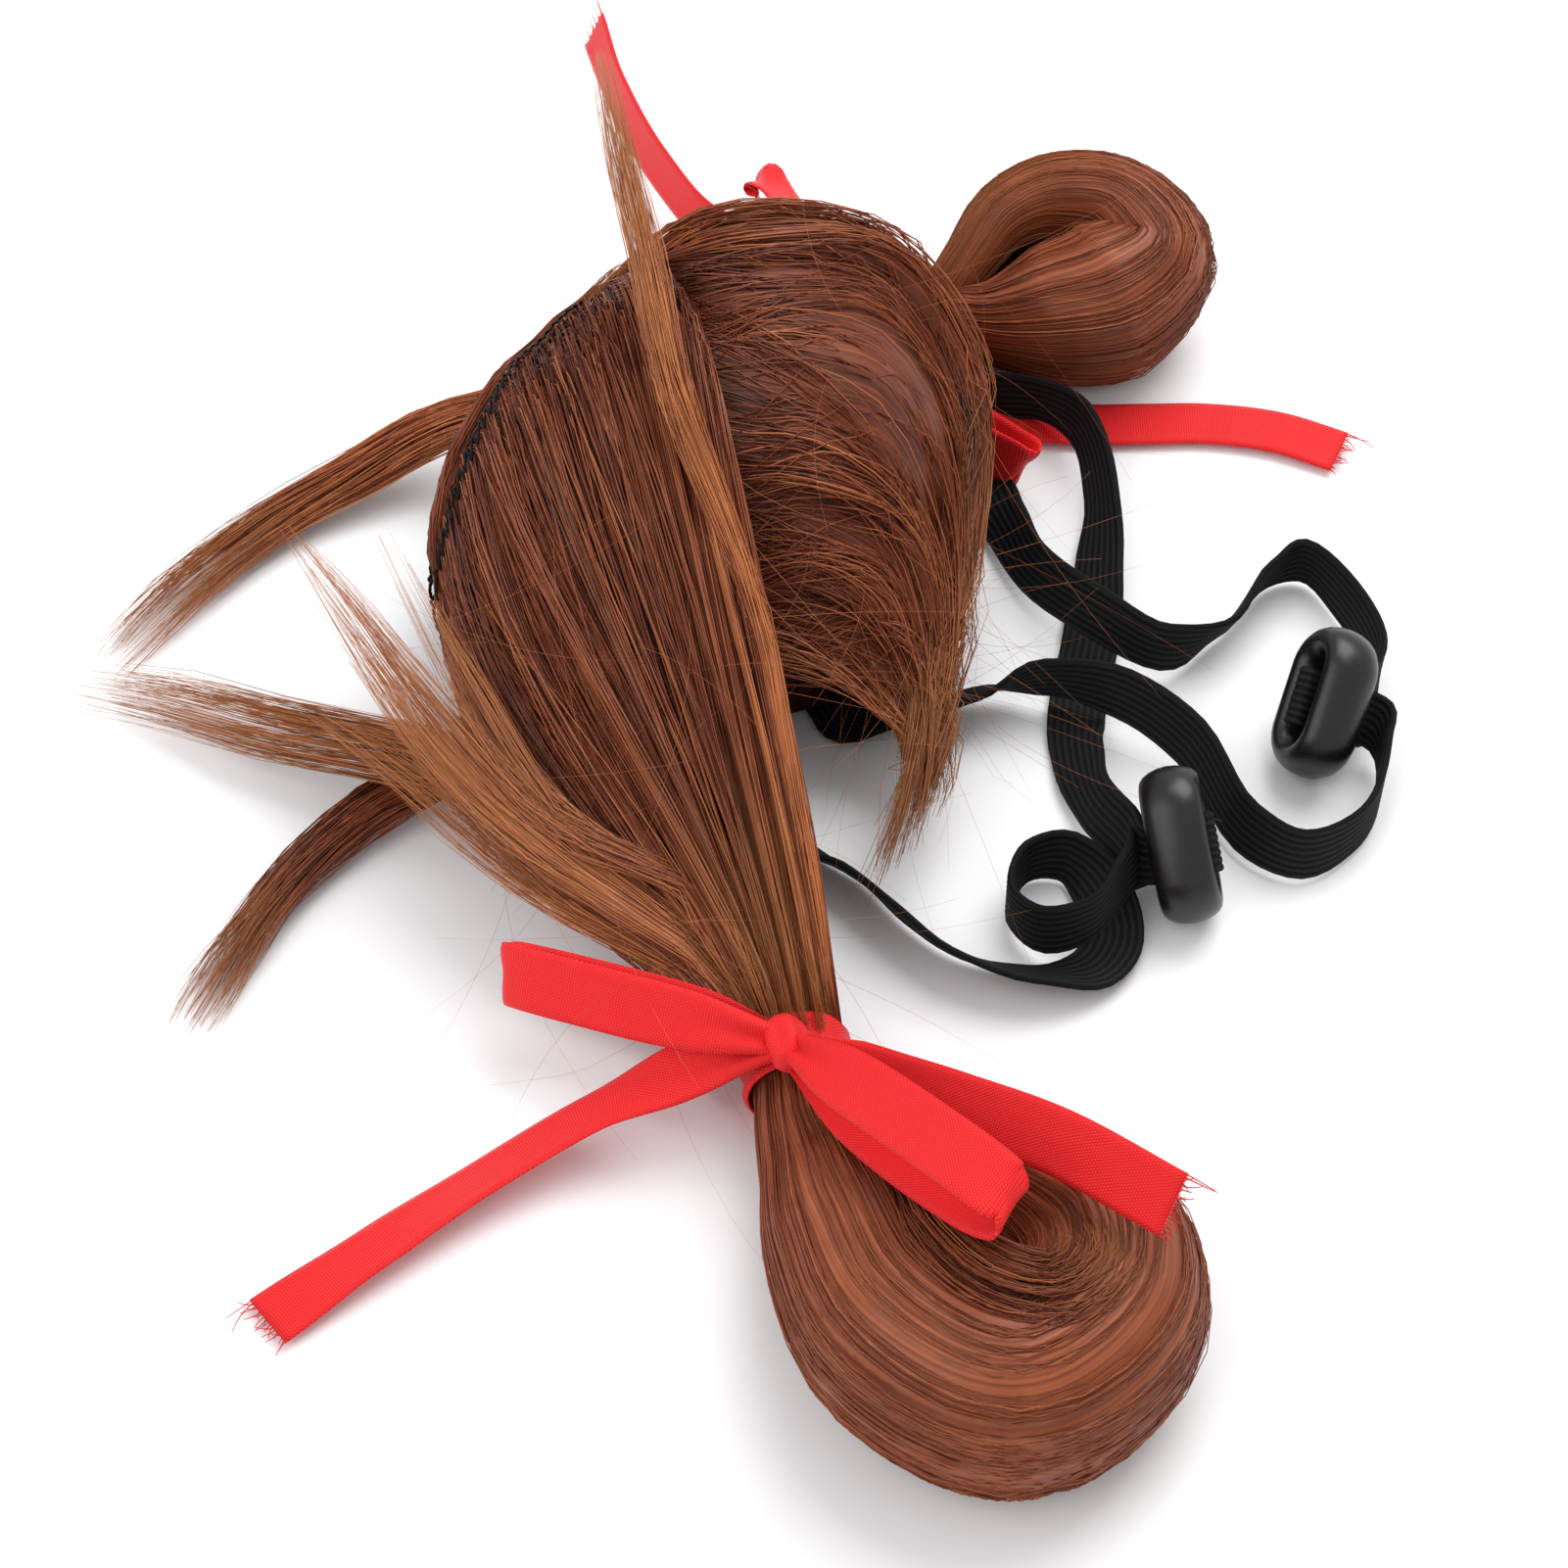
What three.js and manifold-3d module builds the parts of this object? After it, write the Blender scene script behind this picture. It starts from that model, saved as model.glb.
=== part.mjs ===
// Dog wig with two pigtails, lying crown up on a table. Millimetres, +Z up.
// The fringe points to +X and the nape to -X. The near pigtail lies towards -Y, the far one towards +Y.
import * as THREE from "three";
import Module from "manifold-3d";

const wasm = await Module();
wasm.setup();

// Driving dimensions
const CROWN = { x: -14, y: 56, z: 60 };
const CAP_WALL = 2;
const HAIR_THICK = 5;
const HAIR_CLEAR = 2.5;
const ROOT_SHARE = 0.35;
const NECK_LENGTH = 7;
const GAP = 0.4;
const RIBBON = { wide: 10, thick: 1 };
const ELASTIC = { wide: 10, thick: 1.2 };
const RING = { longAxis: 10.3, shortAxis: 5.4, tube: 2.8, halfDepth: 5 };
const NEAR_TIE = { x: 2, y: -66, z: 9.5, heading: -83, radius: 7.5 };
const FAR_TIE = { x: 21, y: 107, z: 8.4, heading: 8, radius: 6 };
const UP = new THREE.Vector3(0, 0, 1);

const COLOURS = { hair: 0x7a4428, dark: 0x33211a, ribbon: 0xf02a2a, elastic: 0x141414, plastic: 0x1a1a1a };

// The cap's rim and profile round the crown: full is 1 for an elliptical side, more for a squarer one.
const CAP_ROWS = [
  { azimuth: 0, radius: 47, rim: 4.4, full: 1.2 },
  { azimuth: 45, radius: 48, rim: 4.4, full: 1.25 },
  { azimuth: 75, radius: 45, rim: 4, full: 1.15 },
  { azimuth: 100, radius: 41, rim: 6, full: 0.95 },
  { azimuth: 120, radius: 35, rim: 13, full: 0.75 },
  { azimuth: 140, radius: 32.5, rim: 16, full: 0.62 },
  { azimuth: 160, radius: 35, rim: 14, full: 0.6 },
  { azimuth: 180, radius: 42, rim: 10, full: 0.7 },
  { azimuth: 200, radius: 50, rim: 6, full: 0.9 },
  { azimuth: 225, radius: 53, rim: 0, full: 1.0 },
  { azimuth: 250, radius: 48, rim: 0, full: 1.0 },
  { azimuth: 270, radius: 46, rim: 4.4, full: 1.0 },
  { azimuth: 300, radius: 46, rim: 4.4, full: 1.1 },
  { azimuth: 330, radius: 47, rim: 4.4, full: 1.2 },
];

// Where the combed hair starts on the cap, in plan, from the nape to the front.
const NEAR_ROOTS = [
  { x: -53, y: 24, bulge: 14 },
  { x: -58, y: 38, bulge: 12 },
  { x: -51, y: 54, bulge: 8 },
  { x: -43, y: 65, bulge: 4 },
  { x: -34.5, y: 72.5, bulge: 0 },
  { x: -27, y: 72, bulge: 0 },
  { x: -21, y: 63, bulge: 0 },
  { x: -16, y: 53, bulge: 0 },
  { x: -13, y: 44, bulge: 0 },
];
const FAR_ROOTS = [
  { x: 27, y: 76, bulge: 0 },
  { x: 16, y: 82, bulge: 0 },
  { x: 4, y: 79, bulge: 0 },
  { x: -8, y: 75, bulge: 0 },
  { x: -17, y: 73, bulge: 0 },
  { x: -25, y: 82, bulge: 0 },
];

// The fringe's outer face: one row for each lock from the far side to the near side.
const FRINGE_ROWS = [
  { root: [-14, 58, 64.8], crest: [-4, 69, 62.4], brow: [15, 75, 54], turn: [32, 62, 35], fall: [31, 28, 20], tip: [12, -33, 14] },
  { root: [-11, 46, 63.9], crest: [0, 49, 63.2], brow: [17.2, 54.8, 52.2], turn: [29, 44, 34.4], fall: [28, 20, 20], tip: [20, -11, 14] },
  { root: [-7, 27, 57], crest: [8, 31, 54], brow: [20, 33.4, 41], turn: [27.6, 26.2, 26.6], fall: [27, 10, 19], tip: [22, -4, 14] },
  { root: [-4, 18, 46], crest: [6, 20, 44], brow: [18, 21, 35], turn: [24, 15, 25], fall: [24.5, 7, 19], tip: [22, -1, 15] },
  { root: [-3, 11, 33], crest: [5, 12, 33], brow: [13, 12, 28], turn: [19.5, 9, 22], fall: [22, 5, 19], tip: [21, 1, 16] },
];

// Hair loops of the pigtails: half sizes in the plane of the loop and across it.
const NEAR_OUT = [
  { x: 2, y: -66.3, z: 9.5, wide: 7.1, tall: 7.1 },
  { x: 2.7, y: -71.7, z: 9.5, wide: 7.1, tall: 7.1 },
  { x: 4, y: -78, z: 9.4, wide: 8.2, tall: 8 },
  { x: 7, y: -87, z: 10.2, wide: 10.6, tall: 9.8 },
  { x: 11, y: -101, z: 13.4, wide: 14, tall: 13.6 },
  { x: 18, y: -118, z: 15.3, wide: 15.4, tall: 16.8 },
  { x: 33, y: -127, z: 15.3, wide: 15.4, tall: 16.8 },
  { x: 46, y: -116, z: 15.3, wide: 15.4, tall: 16.8 },
];
const NEAR_BACK = [
  { x: 2.3, y: -68, z: 9.5, wide: 6.5, tall: 6.5 },
  { x: 2.8, y: -72, z: 9.5, wide: 6.7, tall: 6.7 },
  { x: 7, y: -78, z: 9.2, wide: 7.4, tall: 7.4 },
  { x: 18, y: -83, z: 9, wide: 9, tall: 8.4 },
  { x: 35, y: -91, z: 12, wide: 11.5, tall: 11.8 },
  { x: 46, y: -103, z: 14, wide: 15, tall: 15 },
  { x: 46, y: -116, z: 15.3, wide: 14, tall: 15.4 },
  { x: 34, y: -126, z: 15.3, wide: 12, tall: 13 },
];
const FAR_OUT = [
  { x: 21.3, y: 107, z: 8.4, wide: 5.7, tall: 5.7 },
  { x: 27.6, y: 107.9, z: 8.4, wide: 5.6, tall: 5.6 },
  { x: 31.6, y: 106.6, z: 8.9, wide: 6.6, tall: 6.8 },
  { x: 36.5, y: 103.4, z: 10.8, wide: 8.4, tall: 9.8 },
  { x: 46, y: 101, z: 12.5, wide: 11.4, tall: 14 },
  { x: 59, y: 100, z: 13.5, wide: 12.2, tall: 15 },
  { x: 67, y: 107, z: 16.5, wide: 12.2, tall: 15 },
  { x: 59, y: 117, z: 21, wide: 12.2, tall: 14 },
];
const FAR_BACK = [
  { x: 22.6, y: 107.2, z: 8.4, wide: 4.8, tall: 4.8 },
  { x: 27.6, y: 107.9, z: 8.4, wide: 5, tall: 5 },
  { x: 31.5, y: 111, z: 10.8, wide: 6.2, tall: 6.4 },
  { x: 36, y: 116, z: 17, wide: 8.2, tall: 9.2 },
  { x: 46, y: 119, z: 20.5, wide: 11.6, tall: 13 },
  { x: 58, y: 117.5, z: 21, wide: 11, tall: 12.6 },
  { x: 66, y: 108, z: 17, wide: 9.6, tall: 11 },
];
const FAR_TAIL_UP = new THREE.Vector3(0, -0.5, 0.87).normalize();

// Loose locks, each from its root to its tip.
const LOCKS = {
  nape_lock_far: [
    { x: -44.8, y: 74.2, z: 18.8, wide: 5, tall: 3 },
    { x: -64, y: 74, z: 11, wide: 5.5, tall: 3 },
    { x: -78, y: 68, z: 6, wide: 5, tall: 3 },
    { x: -92, y: 58, z: 4, wide: 4.5, tall: 2.8 },
    { x: -106, y: 43, z: 3, wide: 3.5, tall: 2 },
    { x: -118, y: 25, z: 1.6, wide: 0.9, tall: 0.8 },
  ],
  nape_lock_mid: [
    { x: -47, y: -12, z: 12.6, wide: 5, tall: 2.6 },
    { x: -57, y: -5, z: 11.4, wide: 6, tall: 2.8 },
    { x: -70, y: 0, z: 10, wide: 5.5, tall: 2.6 },
    { x: -88, y: 7, z: 7, wide: 4.5, tall: 2.4 },
    { x: -106, y: 16, z: 4, wide: 3, tall: 2 },
    { x: -122, y: 21, z: 1.8, wide: 0.9, tall: 0.8 },
  ],
  nape_lock_near: [
    { x: -57, y: -3, z: 6.2, wide: 4, tall: 2.2 },
    { x: -69, y: -9, z: 4.4, wide: 4.5, tall: 2.4 },
    { x: -81, y: -22, z: 3.2, wide: 4, tall: 2.4 },
    { x: -89, y: -37, z: 2.6, wide: 2.8, tall: 2 },
    { x: -96, y: -53, z: 1.4, wide: 0.9, tall: 0.8 },
  ],
  crown_lock: [
    { x: -14, y: 10, z: 51.8, wide: 1.4, tall: 1.2 },
    { x: -17.6, y: 28, z: 64.5, wide: 2.6, tall: 1.5 },
    { x: -21.6, y: 47, z: 74.4, wide: 2.4, tall: 1.5 },
    { x: -27, y: 72, z: 77, wide: 1.8, tall: 1.3 },
    { x: -32, y: 104, z: 72, wide: 0.8, tall: 0.8 },
  ],
  side_wisp: [
    { x: -20.4, y: -46.4, z: 16, wide: 1.6, tall: 1.3 },
    { x: -40, y: -31, z: 24.6, wide: 2.4, tall: 1.4 },
    { x: -57, y: -12, z: 31, wide: 2.4, tall: 1.4 },
    { x: -71, y: 9, z: 33, wide: 1.8, tall: 1.2 },
    { x: -84, y: 28, z: 34, wide: 0.8, tall: 0.8 },
  ],
};

// Sliding rings of the straps: along is the way through the hole, upright the long way of the oval.
const RINGS = {
  ring_front: { centre: [91.5, 8.5, 10.8], along: [0.8, 0.36, -0.48], upright: [0, 0.766, 0.643] },
  ring_rear: { centre: [65, -22.5, 10.6], along: [-1, 0, 0], upright: [0, 0.766, 0.643] },
};

// Straps: heading and tilt give the way of the band's width, tilt 90 being a band on edge.
const STRAP_FRONT = {
  ring: "ring_front",
  farAzimuth: 22,
  nearAzimuth: -60,
  far: [
    { x: 36.6, y: 72.5, z: 2, heading: 40, tilt: 2 },
    { x: 37.4, y: 65, z: 3.4, heading: 20, tilt: 20 },
    { x: 40, y: 56, z: 5.2, heading: 32, tilt: 50 },
    { x: 44, y: 45, z: 6, heading: 40, tilt: 62 },
    { x: 54, y: 32, z: 8.6, heading: 60, tilt: 65 },
    { x: 66, y: 25, z: 7, heading: 80, tilt: 62 },
    { x: 77, y: 31, z: 5.7, heading: 120, tilt: 80 },
    { x: 85, y: 43, z: 5.7, heading: 130, tilt: 90 },
    { x: 92, y: 47, z: 5.7, heading: 100, tilt: 85 },
    { x: 99, y: 37, z: 5.7, heading: 60, tilt: 75 },
    { x: 102.5, y: 25, z: 6, heading: 60, tilt: 70 },
    { x: 101.5, y: 17, z: 6.2, heading: 80, tilt: 55 },
  ],
  near: [
    { x: 101, y: 6, z: 7.4, heading: 80, tilt: 55 },
    { x: 100.5, y: -4, z: 6, heading: 70, tilt: 75 },
    { x: 96, y: -14, z: 5.7, heading: 60, tilt: 85 },
    { x: 86, y: -20, z: 5.7, heading: 80, tilt: 75 },
    { x: 77, y: -14, z: 5.6, heading: 60, tilt: 65 },
    { x: 69, y: 4, z: 6.4, heading: 40, tilt: 65 },
    { x: 58, y: 13, z: 8.4, heading: 60, tilt: 70 },
    { x: 45, y: 17, z: 8.2, heading: 80, tilt: 95 },
    { x: 33, y: 15.5, z: 5.6, heading: 95, tilt: 140 },
    { x: 23, y: 13, z: 2.6, heading: 80, tilt: 172 },
  ],
};
const STRAP_REAR = {
  ring: "ring_rear",
  farAzimuth: 45,
  nearAzimuth: -90,
  far: [
    { x: 26.6, y: 93, z: 2.2, heading: 95, tilt: 3 },
    { x: 31.5, y: 90, z: 4.2, heading: 80, tilt: 30 },
    { x: 39, y: 88, z: 6.4, heading: 85, tilt: 78 },
    { x: 47, y: 85.5, z: 8, heading: 60, tilt: 88 },
    { x: 54, y: 79, z: 8.4, heading: 20, tilt: 75 },
    { x: 57, y: 64, z: 6.6, heading: 10, tilt: 62 },
    { x: 56, y: 48, z: 3.6, heading: 0, tilt: 35 },
    { x: 54, y: 33, z: 1.2, heading: -5, tilt: 0 },
    { x: 50.5, y: 15, z: 1.2, heading: -5, tilt: 0 },
    { x: 50, y: 3, z: 3.6, heading: 10, tilt: 35 },
    { x: 52, y: -9, z: 6.2, heading: 45, tilt: 55 },
    { x: 56, y: -17.5, z: 8.6, heading: 75, tilt: 45 },
  ],
  near: [
    { x: 56, y: -27, z: 10, heading: 75, tilt: 55 },
    { x: 50, y: -35.5, z: 9, heading: 60, tilt: 80 },
    { x: 42, y: -36.5, z: 6.8, heading: 90, tilt: 80 },
    { x: 37, y: -30, z: 5.7, heading: 90, tilt: 90 },
    { x: 40, y: -21.5, z: 5.6, heading: 90, tilt: 85 },
    { x: 47, y: -20, z: 5.2, heading: 60, tilt: 70 },
    { x: 52.5, y: -26, z: 3.2, heading: 40, tilt: 35 },
    { x: 54, y: -34, z: 1.4, heading: 0, tilt: 0 },
    { x: 50, y: -41, z: 1.9, heading: -45, tilt: 10 },
    { x: 40, y: -43.5, z: 4, heading: -85, tilt: 40 },
    { x: 28, y: -40, z: 5, heading: -100, tilt: 55 },
    { x: 19, y: -32, z: 5.4, heading: -120, tilt: 65 },
    { x: 11, y: -23, z: 5, heading: -130, tilt: 60 },
    { x: 2, y: -17, z: 4, heading: -140, tilt: 40 },
    { x: -8, y: -4, z: 1.8, heading: -165, tilt: 5 },
  ],
};

// Bows: loops by their tips, free tails by their rows, both from the knot.
const BOWS = {
  bow_near: {
    knot: { x: 0.5, y: -70, z: 21.6, heading: 15 },
    loops: [
      { x: -44, y: -52, z: 16, heading: 92, tilt: 38, fat: 4, slip: 0 },
      { x: 32, y: -114, z: 46.4, heading: 233, tilt: -34, fat: 3.6, slip: 4 },
    ],
    tails: [
      [
        { x: -11, y: -70, z: 17, heading: 105, tilt: 40 },
        { x: -29, y: -73, z: 8, heading: 116, tilt: 28 },
        { x: -47, y: -83, z: 3.4, heading: 124, tilt: 12 },
        { x: -63, y: -95, z: 1.8, heading: 126, tilt: 6 },
        { x: -78, y: -107, z: 1.2, heading: 126, tilt: 3 },
      ],
      [
        { x: 13, y: -73, z: 26, heading: 80, tilt: 38 },
        { x: 26, y: -85.5, z: 32.5, heading: 75, tilt: 35 },
        { x: 40, y: -98, z: 38.8, heading: 70, tilt: 35 },
        { x: 55.5, y: -111, z: 39, heading: 70, tilt: 40 },
      ],
    ],
  },
  bow_far: {
    knot: { x: 20.5, y: 108, z: 18.9, heading: 120 },
    loops: [
      { x: -6, y: 136, z: 14.6, heading: -90, tilt: 50, fat: 3, slip: 0 },
      { x: 42, y: 69, z: 12, heading: 30, tilt: 38, fat: 2.4, slip: 0 },
    ],
    tails: [
      [
        { x: 12, y: 118, z: 14.5, heading: 35, tilt: 30 },
        { x: 1, y: 127, z: 8, heading: 20, tilt: 68 },
        { x: -13, y: 134, z: 6.2, heading: 15, tilt: 80 },
        { x: -24, y: 150, z: 7.5, heading: 15, tilt: 78 },
        { x: -33, y: 170, z: 10, heading: 15, tilt: 76 },
        { x: -38, y: 186, z: 13, heading: 15, tilt: 70 },
      ],
      [
        { x: 26, y: 95, z: 17, heading: 30, tilt: 32 },
        { x: 32, y: 84, z: 10, heading: 40, tilt: 12 },
        { x: 38, y: 80, z: 7.4, heading: 55, tilt: 6 },
        { x: 45, y: 78.8, z: 2.7, heading: 82, tilt: 2 },
        { x: 54, y: 81, z: 1.4, heading: 96, tilt: 2 },
        { x: 66, y: 84.5, z: 1.4, heading: 92, tilt: 2 },
        { x: 78, y: 86.5, z: 1.4, heading: 92, tilt: 2 },
        { x: 90, y: 84, z: 1.6, heading: 70, tilt: 3 },
        { x: 102, y: 78, z: 1.4, heading: 62, tilt: 3 },
      ],
    ],
  },
};

// Small helpers
const vec = (x, y, z) => new THREE.Vector3(x, y, z);
const rad = (degrees) => (degrees * Math.PI) / 180;
const mix = (a, b, t) => a + (b - a) * t;
const aim = (heading, tilt) =>
  vec(Math.cos(rad(tilt)) * Math.cos(rad(heading)), Math.cos(rad(tilt)) * Math.sin(rad(heading)), Math.sin(rad(tilt)));

// A cubic through four neighbouring values.
function cubic(a, b, c, d, t) {
  const m0 = (c - a) / 2;
  const m1 = (d - b) / 2;
  const t2 = t * t;
  const t3 = t2 * t;
  return (2 * t3 - 3 * t2 + 1) * b + (t3 - 2 * t2 + t) * m0 + (3 * t2 - 2 * t3) * c + (t3 - t2) * m1;
}

// A closed solid from points and triangles: equal points are welded and the faces turned outwards.
function closed(points, triangles) {
  const places = new Map();
  const kept = [];
  const slots = points.map((p) => {
    const key = `${p.x.toFixed(4)},${p.y.toFixed(4)},${p.z.toFixed(4)}`;
    if (!places.has(key)) {
      places.set(key, kept.length);
      kept.push(p);
    }
    return places.get(key);
  });
  let faces = triangles.map((face) => face.map((i) => slots[i]));
  faces = faces.filter(([a, b, c]) => a !== b && b !== c && a !== c);
  let volume = 0;
  for (const [a, b, c] of faces) {
    volume += kept[a].dot(vec(0, 0, 0).crossVectors(kept[b], kept[c])) / 6;
  }
  if (volume < 0) {
    faces = faces.map(([a, b, c]) => [a, c, b]);
  }
  return new wasm.Manifold(
    new wasm.Mesh({
      numProp: 3,
      vertProperties: new Float32Array(kept.flatMap((p) => [p.x, p.y, p.z])),
      triVerts: new Uint32Array(faces.flat()),
    }),
  );
}

// A solid skinned over rings of equal point counts, with a fan over each end.
function skin(rings) {
  const count = rings[0].length;
  const points = rings.flat();
  const triangles = [];
  for (let i = 0; i + 1 < rings.length; i++) {
    for (let j = 0; j < count; j++) {
      const k = (j + 1) % count;
      const [a, b, c, d] = [i * count + j, i * count + k, (i + 1) * count + k, (i + 1) * count + j];
      triangles.push([a, b, c], [a, c, d]);
    }
  }
  for (const [start, turn] of [[0, 1], [(rings.length - 1) * count, 0]]) {
    for (let j = 1; j + 1 < count; j++) {
      triangles.push(turn ? [start, start + j + 1, start + j] : [start, start + j, start + j + 1]);
    }
  }
  return closed(points, triangles);
}

// A slab between two faces given as functions of u and v, closed along its edges.
function slab(outer, inner, columns, rows, round) {
  const points = [];
  const triangles = [];
  const at = (side, i, j) => (side * (rows + 1) + j) * (columns + 1) + i;
  for (const face of [outer, inner]) {
    for (let j = 0; j <= rows; j++) {
      for (let i = 0; i <= columns; i++) {
        points.push(face(i / columns, j / rows));
      }
    }
  }
  const quad = (a, b, c, d) => triangles.push([a, b, c], [a, c, d]);
  for (let j = 0; j < rows; j++) {
    for (let i = 0; i < columns; i++) {
      quad(at(0, i, j), at(0, i + 1, j), at(0, i + 1, j + 1), at(0, i, j + 1));
      quad(at(1, i, j), at(1, i, j + 1), at(1, i + 1, j + 1), at(1, i + 1, j));
    }
    if (!round) {
      quad(at(0, 0, j), at(0, 0, j + 1), at(1, 0, j + 1), at(1, 0, j));
      quad(at(0, columns, j), at(1, columns, j), at(1, columns, j + 1), at(0, columns, j + 1));
    }
  }
  for (let i = 0; i < columns; i++) {
    quad(at(0, i, 0), at(1, i, 0), at(1, i + 1, 0), at(0, i + 1, 0));
    if (!round) {
      quad(at(0, i, rows), at(0, i + 1, rows), at(1, i + 1, rows), at(1, i, rows));
    }
  }
  return closed(points, triangles);
}

// A smooth path through rows with x, y and z, and the rows' other columns along it.
class Path {
  constructor(rows) {
    this.rows = rows;
    this.curve = new THREE.CatmullRomCurve3(rows.map((r) => vec(r.x, r.y, r.z)), false, "centripetal");
  }
  point(t) {
    return this.curve.getPoint(t);
  }
  tangent(t) {
    return this.curve.getTangent(t);
  }
  value(key, t) {
    const last = this.rows.length - 1;
    const i = Math.min(Math.floor(t * last), last - 1);
    const f = t * last - i;
    return mix(this.rows[i][key], this.rows[i + 1][key], f);
  }
  across(t) {
    const last = this.rows.length - 1;
    const i = Math.min(Math.floor(t * last), last - 1);
    const f = t * last - i;
    const ease = f * f * (3 - 2 * f);
    const [a, b] = [this.rows[i], this.rows[i + 1]];
    return aim(a.heading, a.tilt).lerp(aim(b.heading, b.tilt), ease);
  }
}

// A lock of hair: an oval section along its rows.
function lock(rows, up, sides, perRow) {
  const path = new Path(rows);
  const steps = (rows.length - 1) * perRow;
  const rings = [];
  for (let i = 0; i <= steps; i++) {
    const t = i / steps;
    const ahead = path.tangent(t);
    const side = vec(0, 0, 0).crossVectors(ahead, up).normalize();
    const over = vec(0, 0, 0).crossVectors(side, ahead).normalize();
    const ring = [];
    for (let j = 0; j < sides; j++) {
      const a = ((j + 0.5) / sides) * 2 * Math.PI;
      const p = path.point(t);
      p.addScaledVector(side, Math.cos(a) * path.value("wide", t));
      p.addScaledVector(over, Math.sin(a) * path.value("tall", t));
      ring.push(p);
    }
    rings.push(ring);
  }
  return skin(rings);
}

// A flat band of cloth: a thin oblong section along its rows.
function band(rows, size, perRow) {
  const path = new Path(rows);
  const steps = (rows.length - 1) * perRow;
  const rings = [];
  for (let i = 0; i <= steps; i++) {
    const t = i / steps;
    const ahead = path.tangent(t);
    const across = path.across(t);
    across.addScaledVector(ahead, -across.dot(ahead)).normalize();
    const face = vec(0, 0, 0).crossVectors(ahead, across);
    const ring = [];
    for (const [w, h] of [[-1, -1], [1, -1], [1, 1], [-1, 1]]) {
      const p = path.point(t);
      p.addScaledVector(across, (w * size.wide) / 2);
      p.addScaledVector(face, (h * size.thick) / 2);
      ring.push(p);
    }
    rings.push(ring);
  }
  return skin(rings);
}

// What lies below the table's top is taken off, so the hair rests on a flat.
function onTable(solid) {
  const box = new THREE.BoxGeometry(800, 800, 60).translate(0, 0, -30);
  const points = [];
  const place = box.getAttribute("position");
  for (let i = 0; i < place.count; i++) {
    points.push(vec(place.getX(i), place.getY(i), place.getZ(i)));
  }
  const triangles = [];
  for (let i = 0; i < box.index.count; i += 3) {
    triangles.push([box.index.getX(i), box.index.getX(i + 1), box.index.getX(i + 2)]);
  }
  return solid.subtract(closed(points, triangles));
}

// The cap's rim and profile at an azimuth in degrees.
function capRow(azimuth) {
  const n = CAP_ROWS.length;
  const a = ((azimuth % 360) + 360) % 360;
  let i = n - 1;
  while (i > 0 && CAP_ROWS[i].azimuth > a) {
    i--;
  }
  const span = i === n - 1 ? 360 - CAP_ROWS[i].azimuth : CAP_ROWS[i + 1].azimuth - CAP_ROWS[i].azimuth;
  const t = (a - CAP_ROWS[i].azimuth) / span;
  const row = (k) => CAP_ROWS[(i + k + n) % n];
  const value = (key) => cubic(row(-1)[key], row(0)[key], row(1)[key], row(2)[key], t);
  return { radius: value("radius"), rim: Math.max(value("rim"), 0), full: value("full") };
}

// A point of the cap's outer face, rise 0 at the rim and 1 at the crown, moved in by a wall.
function capPoint(azimuth, rise, wall) {
  const row = capRow(azimuth);
  const angle = (rise * Math.PI) / 2;
  const reach = row.full * Math.cos(angle) + (1 - row.full) * (1 - rise);
  const climb = row.full * Math.sin(angle) + (1 - row.full) * rise;
  const r = Math.max(row.radius - wall, 0) * reach;
  const z = row.rim + (CROWN.z - wall * Math.sin(angle) - row.rim) * climb;
  return vec(CROWN.x + r * Math.cos(rad(azimuth)), CROWN.y + r * Math.sin(rad(azimuth)), z);
}

// The height of the cap's outer face over a place in plan, or well below the table outside it.
function capTop(x, y) {
  const azimuth = (Math.atan2(y - CROWN.y, x - CROWN.x) * 180) / Math.PI;
  const r = Math.hypot(x - CROWN.x, y - CROWN.y);
  if (r >= capRow(azimuth).radius) {
    return -100;
  }
  let [low, high] = [0, 1];
  for (let i = 0; i < 24; i++) {
    const middle = (low + high) / 2;
    const p = capPoint(azimuth, middle, 0);
    if (Math.hypot(p.x - CROWN.x, p.y - CROWN.y) > r) {
      low = middle;
    } else {
      high = middle;
    }
  }
  return capPoint(azimuth, low, 0).z;
}

// A taut line from a root to a tie over the cap: the upper hull of the cap's profile below it.
function taut(root, tie, clear, bulge) {
  const length = Math.hypot(tie.x - root.x, tie.y - root.y);
  const plan = (t) => {
    const off = (bulge * Math.sin(Math.PI * t ** 0.7)) / length;
    return [mix(root.x, tie.x, t) + (tie.y - root.y) * off, mix(root.y, tie.y, t) - (tie.x - root.x) * off];
  };
  const count = 48;
  const profile = [];
  for (let i = 0; i <= count; i++) {
    const t = i / count;
    const [x, y] = plan(t);
    const z = i === 0 ? root.z : i === count ? tie.z : capTop(x, y) + clear;
    while (profile.length > 1) {
      const [a, b] = profile.slice(-2);
      if ((b.z - a.z) * (t - a.t) > (z - a.z) * (b.t - a.t)) {
        break;
      }
      profile.pop();
    }
    profile.push({ t, z });
  }
  return (t) => {
    let i = 0;
    while (i < profile.length - 2 && profile[i + 1].t < t) {
      i++;
    }
    const [a, b] = [profile[i], profile[i + 1]];
    return vec(...plan(t), mix(a.z, b.z, (t - a.t) / (b.t - a.t)));
  };
}

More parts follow.
